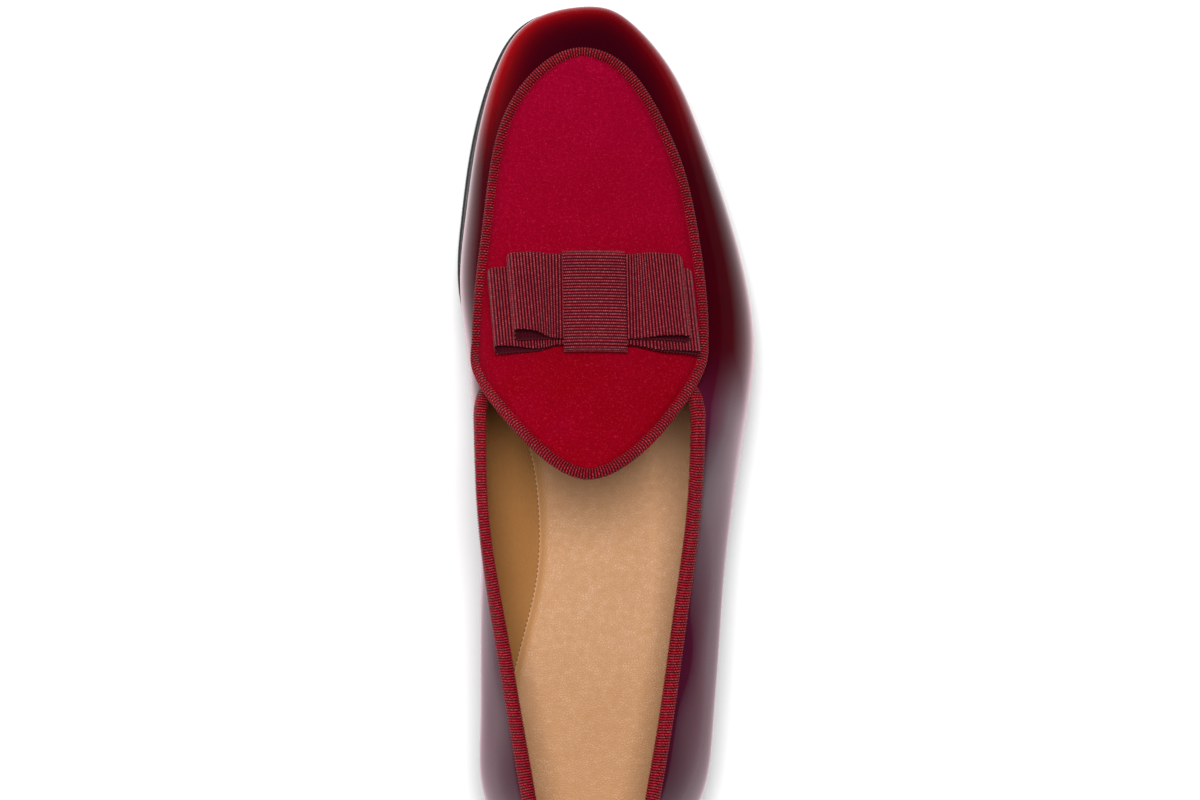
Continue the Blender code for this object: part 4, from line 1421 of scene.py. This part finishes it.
@dataclass
class ToplineBinding:
    """The ribbed ribbon folded over the topline."""

    form: FootForm
    from_y: float = 20.0
    wall: float = WALL
    gap: float = GAP
    leg: float = 3.4
    thickness: float = 0.7
    rib_pitch: float = BINDING_RIB
    rib_depth: float = 0.42
    girth: float = 20.0  # round the ribbon's section
    steps_per_rib: int = 5

    def section(self) -> tuple[Array, ...]:
        """Gives the ribbon's section from the outer foot over the top to the inner foot and back.

        Returns:
            For each point its share up the leg, its outward and upward offset, and the direction
            in which the ribs stand.
        """
        outer, inner = self.gap + self.thickness, -self.wall - self.gap - self.thickness
        middle, radius = (outer + inner) / 2, (outer - inner) / 2
        up = np.array([0.0, 0.12, 0.4, 0.7])
        arc = np.linspace(0, math.pi, 11)
        parts = [
            (s, outer + 0.2 * math.sin(math.pi * s) - 0.25 * (s == 0), 0.0, 1.0, 0.0)
            for s in up
        ]
        parts += [
            (1.0, middle + radius * math.cos(a), 0.15 + 0.85 * math.sin(a), math.cos(a), math.sin(a))
            for a in arc
        ]
        parts += [
            (s, inner - 0.1 * math.sin(math.pi * s) + 0.25 * (s == 0), 0.0, -1.0, 0.0)
            for s in up[::-1]
        ]
        lining_side = -self.wall - self.gap
        parts += [(0.0, lining_side, 0.0, 0.0, 0.0), (1.0, lining_side, self.gap, 0.0, 0.0)]
        parts += [(1.0, self.gap, self.gap, 0.0, 0.0), (0.0, self.gap, 0.0, 0.0, 0.0)]
        return tuple(np.array(parts).T)

    def frame_at(self, u: Array, t: Array) -> tuple[Array, Array, Array]:
        """Gives points of the upper's outside, its outward normals and the directions up the wall."""
        rise = unit(self.form.point(u, t + 0.01) - self.form.point(u, t - 0.01))
        along = unit(self.form.point(u + 1e-3, t) - self.form.point(u - 1e-3, t))
        return self.form.point(u, t), unit(np.cross(rise, along)), rise

    def build(self, wardrobe: Wardrobe) -> bpy.types.Object:
        """Makes the ribbon, rib by rib.

        Args:
            wardrobe: The finishes.

        Returns:
            The binding.
        """
        fine = np.linspace(0, 1, 4001)
        fine = fine[self.form.of("y", fine) < self.from_y]
        top = self.form.point(fine, np.ones_like(fine))
        place, ribs = even_steps(top, self.rib_pitch, self.steps_per_rib)
        u = np.interp(place, np.arange(len(fine)), fine)
        full = np.ones_like(u)
        _, out, rise = self.frame_at(u, 0.99 * full)
        top = self.form.point(u, full)
        height = np.linalg.norm(top - self.form.point(u, 0.9 * full), axis=-1) / 0.1
        foot, foot_out, _ = self.frame_at(u, 1 - self.leg / height)
        share, a, b, da, db = (v[None, :, None] for v in self.section())
        cut = -self.rib_depth * (1 - rib_crest(ribs))[:, None, None]
        from_end = np.minimum(ribs, ribs[-1] - ribs) * self.rib_pitch
        narrow = (0.35 + 0.65 * np.sqrt(smooth_step(from_end, -0.5, 4.5)))[:, None, None]
        outward = foot_out[:, None] * (1 - share) + out[:, None] * share
        middle = -self.wall / 2
        across = outward * (middle + (a - middle + cut * da) * narrow)
        over = rise[:, None] * (b + cut * db) * narrow
        grid = foot[:, None] * (1 - share) + top[:, None] * share + across + over
        rows, count = grid.shape[:2]
        faces = grid_faces(rows, count, closed_columns=True)
        uv = corner_values(np.linspace(0, self.girth, count + 1), ribs * self.rib_pitch)
        last = (rows - 1) * count
        faces = [*faces.tolist(), list(range(count)), list(range(last, last + count))[::-1]]
        uv = np.concatenate([uv, np.zeros((2 * count, 2))])
        piece = Piece("collar_ribbon", grid.reshape(-1, 3), faces, self.form, uv=uv)
        ribbon = piece.place([wardrobe.binding])
        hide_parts("topline_binding")
        return ribbon


@dataclass(frozen=True)
class Loop:
    """One pair of flat loops: where it ends, and its heights over the suede."""

    name: str
    node: str
    left: float
    right: float
    base_in: float  # height of the lower layer under the knot
    base_out: float  # and where it is free of the knot
    top_in: float
    top_out: float
    slide_in: float  # how far it lies back from the bow's middle, under the knot
    slide_out: float
    open_left: float  # how far the top's rear edge is drawn forward and up at the left end
    open_right: float


@dataclass
class Bow:
    """The flat bow: two lengths of ribbon closed into loops, and the knot round their middle."""

    shape: ApronShape
    bow_y: float = 43.9
    ribbon_width: float = 28.0
    thickness: float = 0.7
    knot_centre: float = 1.5
    knot_width: float = 20.6
    knot_slack: float = 0.65
    knot_turn: float = 2.2
    knot_scallop: float = 0.16
    knot_curl: float = 0.25
    knot_columns: int = 26
    loop_turn: float = 1.8
    loop_rise: float = 11.0
    droop: float = 5.2
    corner_round: float = 0.6
    scallop: float = 0.12
    edge_curl: float = 0.12
    opening_left: float = 17.0
    opening_right: float = 15.0
    opening_rise: float = 0.45
    half: float = 35.0
    gap: float = GAP
    skew: float = 0.1
    rib_pitch: float = BOW_RIB
    rib_depth: float = 0.27
    steps_per_rib: int = 6
    depth_steps: int = 34
    loops: tuple[Loop, ...] = (
        Loop("lower_loops", "bow_lower_loops", -32.3, 34.2, 1.65, 1.4, 2.65, 3.3, 0.9, 2.4, 1.9, 0.5),
        Loop("upper_loops", "bow_upper_loops", -25.6, 31.1, 3.65, 4.5, 4.65, 7.8, -0.4, -0.4, 2.3, 0.9),
    )

    def on_bow(self, across: Array, back: Array, out: Array) -> Array:
        """Gives points across from the ridge, back from the bow's middle and out from the suede."""
        x, y = np.zeros_like(back), self.bow_y - back
        out = out - self.droop * (across / self.half) ** 2
        points = self.shape.surface(x, y, self.shape.thickness)
        points = points + self.shape.form.normal_over(x, y) * out[..., None]
        points[..., 0] += across + self.skew * back * (0.2 + 0.8 * self.free_share(across))
        return points

    def free_share(self, across: Array) -> Array:
        """Gives 0 where the ribbon lies under the knot and 1 where it is free of it."""
        start = self.knot_width / 2 + 0.6
        return smooth_step(np.abs(across - self.knot_centre), start, self.knot_width / 2 + self.loop_rise)

    def loop_path(self, loop: Loop) -> Array:
        """Gives the middle line of a pair of loops, closed on itself, as points (across, out)."""
        run = np.linspace(loop.left + self.loop_turn, loop.right - self.loop_turn, 500)
        free = self.free_share(run)
        base = loop.base_in + (loop.base_out - loop.base_in) * free
        top = loop.top_in + (loop.top_out - loop.top_in) * free
        middle, half = (loop.base_out + loop.top_out) / 2, (loop.top_out - loop.base_out) / 2
        s = np.linspace(-math.pi / 2, math.pi / 2, 60)[1:-1]
        turn = self.loop_turn * (1 - np.cos(s))
        right = np.stack([loop.right - turn, middle + half * np.sin(s)], axis=-1)
        left = np.stack([loop.left + turn, middle - half * np.sin(s)], axis=-1)
        return np.concatenate([np.stack([run, base], -1), right, np.stack([run, top], -1)[::-1], left])

    def ribbed(self, path: Array) -> tuple[Array, Array, Array]:
        """Steps round a closed path rib by rib.

        Args:
            path: Close points, counter-clockwise.

        Returns:
            The steps' points, their outward directions, and their rib numbers with one more at the end.
        """
        closed = np.concatenate([path, path[:1]])
        place, ribs = even_steps(closed, self.rib_pitch, self.steps_per_rib)
        place = place[:-1]
        index = np.arange(len(closed))
        line = np.stack([np.interp(place, index, closed[:, k]) for k in range(2)], axis=-1)
        along = unit(np.roll(line, -1, axis=0) - np.roll(line, 1, axis=0))
        return line, np.stack([along[:, 1], -along[:, 0]], axis=-1), ribs

    def depths(self, steps: int, crowding: float) -> Array:
        """Gives places from -1 to 1 across the ribbon, closer together at its edges."""
        even = np.linspace(-1, 1, steps)
        return np.sign(even) * (1 - (1 - np.abs(even)) ** crowding)

    def ribbed_face(self, line: Array, out_way: Array, crest: Array) -> Array:
        """Gives the ribbon's outer face along a path, lower between the ribs."""
        return line + out_way * (self.thickness / 2 - self.rib_depth * (1 - crest))[:, None]

    def pair(self, loop: Loop, wardrobe: Wardrobe) -> bpy.types.Object:
        """Makes one pair of loops, rib by rib, with the ribbon's scalloped edges."""
        line, out_way, ribs = self.ribbed(self.loop_path(loop))
        crest = rib_crest(ribs[:-1])
        face = self.ribbed_face(line, out_way, crest)
        depths = self.depths(self.depth_steps, 1.25)
        from_fold = np.minimum(line[:, 0] - loop.left, loop.right - line[:, 0])
        corner = self.corner_round * hump(from_fold, 0, self.corner_round)
        reach = self.ribbon_width / 2 - self.scallop * (1 - crest) - corner
        across = np.repeat(face[:, :1], self.depth_steps, axis=1)
        back = reach[:, None] * depths
        back = back + loop.slide_in + (loop.slide_out - loop.slide_in) * self.free_share(across)
        out = np.repeat(face[:, 1:], self.depth_steps, axis=1)
        on_top = smooth_step(out, loop.base_out + 0.5, loop.top_out)
        left = loop.open_left * smooth_step(across, loop.left + self.opening_left, loop.left + 1)
        right = loop.open_right * smooth_step(across, loop.right - self.opening_right, loop.right - 1)
        opened = (left + right) * on_top * smooth_step(depths, 0.25, 1.0) ** 2
        out = out + self.opening_rise * opened - self.edge_curl * np.abs(depths) ** 12
        back = back - opened
        grid = self.on_bow(across, back, out)
        faces = grid_faces(len(line), self.depth_steps, closed_rows=True)
        uv = corner_values(depths * self.ribbon_width / 2, ribs * self.rib_pitch)
        piece = Piece(loop.name, grid.reshape(-1, 3), faces, self.shape.form, uv=uv)
        made = piece.place([wardrobe.bow])
        thicken(made, self.thickness - 0.1, -1)
        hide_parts(loop.node)
        return made

    def knot(self, wardrobe: Wardrobe) -> bpy.types.Object:
        """Makes the band round the middle, its ribs across the shoe."""
        lower, upper = self.loops
        low = self.gap + self.thickness / 2
        high = upper.top_in + self.thickness + self.gap
        reach = self.ribbon_width / 2 + (lower.slide_in - upper.slide_in) / 2 + self.gap + self.thickness
        reach += self.knot_slack - self.knot_turn
        middle = (lower.slide_in + upper.slide_in) / 2 + self.knot_slack
        mid_out, half = (low + high) / 2, (high - low) / 2
        run = np.linspace(-reach, reach, 300)
        s = np.linspace(-math.pi / 2, math.pi / 2, 60)[1:-1]
        turn = np.stack([self.knot_turn * np.sign(np.cos(s)) * np.cos(s) ** 0.8, half * np.sin(s)], axis=-1)
        path = np.concatenate([
            np.stack([run, np.full_like(run, mid_out - half)], -1), turn + [reach, mid_out],
            np.stack([run[::-1], np.full_like(run, mid_out + half)], -1), [-reach, mid_out] - turn,
        ])
        line, out_way, ribs = self.ribbed(path)
        crest = rib_crest(ribs[:-1])
        face = self.ribbed_face(line, out_way, crest)
        widths = self.depths(self.knot_columns, 1.3)
        reach = self.knot_width / 2 - self.knot_scallop * (1 - crest)
        across = self.knot_centre + widths * reach[:, None]
        back = np.repeat(face[:, :1] + middle, self.knot_columns, axis=1)
        out = np.repeat(face[:, 1:], self.knot_columns, axis=1) - self.knot_curl * np.abs(widths) ** 8
        grid = self.on_bow(across, back, out)
        faces = grid_faces(len(line), self.knot_columns, closed_rows=True)[:, ::-1]
        uv = corner_values(widths * self.knot_width / 2, ribs * self.rib_pitch)
        uv = uv.reshape(-1, 4, 2)[:, ::-1].reshape(-1, 2)
        piece = Piece("knot_band", grid.reshape(-1, 3), faces, self.shape.form, uv=uv)
        made = piece.place([wardrobe.bow])
        thicken(made, self.thickness - 0.1, -1)
        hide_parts("bow_knot")
        return made

    def build(self, wardrobe: Wardrobe) -> None:
        """Makes the bow's pieces."""
        for loop in self.loops:
            self.pair(loop, wardrobe)
        self.knot(wardrobe)


# The studio

@dataclass(frozen=True)
class Softbox:
    """A large soft light."""

    name: str
    place: tuple[float, float, float]
    size: tuple[float, float]
    watts: float
    tint: Colour = (1.0, 1.0, 1.0)


@dataclass
class Studio:
    """A pale floor, a soft light over the shoe and the camera straight above it."""

    floor_half: float = 1.6
    floor_tone: float = 0.95
    aim: tuple[float, float, float] = (0.0, 0.0, 0.02)
    camera_place: tuple[float, float, float] = (-0.00175, 0.01268, 1.2)
    lens: float = 105.14
    sky_above: float = 0.07
    sky_low: float = 0.12
    sky_left: float = 1.5
    lights: tuple[Softbox, ...] = (
        Softbox("overhead_box", (0.0, 0.35, 2.2), (1.0, 1.0), 61.0),
    )

    def floor(self) -> None:
        """Makes the floor."""
        material, _, shader = start_material("pale_paper")
        shader.inputs["Base Color"].default_value = opaque((self.floor_tone,) * 3)
        set_plain(shader, Roughness=0.9, Specular_IOR_Level=0.1)
        mesh = bpy.data.meshes.new("floor")
        h = self.floor_half
        mesh.from_pydata([(-h, -h, 0), (h, -h, 0), (h, h, 0), (-h, h, 0)], [], [(0, 1, 2, 3)])
        mesh.materials.append(material)
        floor = bpy.data.objects.new("floor", mesh)
        bpy.context.scene.collection.objects.link(floor)

    def light(self, box: Softbox) -> None:
        """Hangs one softbox, turned to the shoe."""
        lamp = bpy.data.lights.new(box.name, "AREA")
        lamp.shape = "RECTANGLE"
        lamp.size, lamp.size_y = box.size
        lamp.energy = box.watts
        lamp.color = box.tint
        obj = bpy.data.objects.new(box.name, lamp)
        obj.location = box.place
        obj.rotation_euler = (Vector(self.aim) - Vector(box.place)).to_track_quat("-Z", "Y").to_euler()
        bpy.context.scene.collection.objects.link(obj)

    def sky(self) -> None:
        """Lights the room evenly, dimmer straight above than near the horizon."""
        world = bpy.data.worlds.new("studio_air")
        world.use_nodes = True
        w = Wiring(world.node_tree)
        way = w.add("SeparateXYZ", {"Vector": w.add("TexCoord").outputs["Generated"]})
        even = w.between(way.outputs["Z"], 0.05, 0.45, self.sky_low, self.sky_above)
        left = w.maths("MULTIPLY", w.between(way.outputs["X"], -0.1, -0.9, 0.0, 1.0),
                       w.between(way.outputs["Z"], 0.0, 0.6, self.sky_left, 0.0))
        strength = w.maths("ADD", even, left)
        w.tree.links.new(strength, w.tree.nodes["Background"].inputs["Strength"])
        w.tree.nodes["Background"].inputs["Color"].default_value = (1, 1, 1, 1)
        bpy.context.scene.world = world

    def camera(self) -> None:
        """Sets the camera straight above the shoe, as in the photo."""
        data = bpy.data.cameras.new("camera")
        data.lens = self.lens
        data.sensor_width = 36.0
        data.clip_start = 0.01
        obj = bpy.data.objects.new("camera", data)
        obj.location = self.camera_place
        bpy.context.scene.collection.objects.link(obj)
        bpy.context.scene.camera = obj

    def build(self) -> None:
        """Sets up the whole studio."""
        self.floor()
        for box in self.lights:
            self.light(box)
        self.sky()
        self.camera()
        bpy.context.scene.view_settings.view_transform = "Standard"


def main() -> None:
    """Builds the finished shoe on its frame, in its studio."""
    logging.basicConfig(level=logging.INFO, format="%(name)s: %(message)s")
    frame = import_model()
    LOG.info("frame with %d nodes", len(frame["nodes"]))
    wardrobe = Wardrobe.build(Effects.build())
    form = FootForm()
    shape = ApronShape(form)
    Bottom(form).build(wardrobe)
    Upper(form).build(wardrobe)
    Apron(shape).build(wardrobe)
    ToplineBinding(form).build(wardrobe)
    Bow(shape).build(wardrobe)
    Studio().build()
    bpy.context.view_layer.update()


if __name__ == "__main__":
    main()
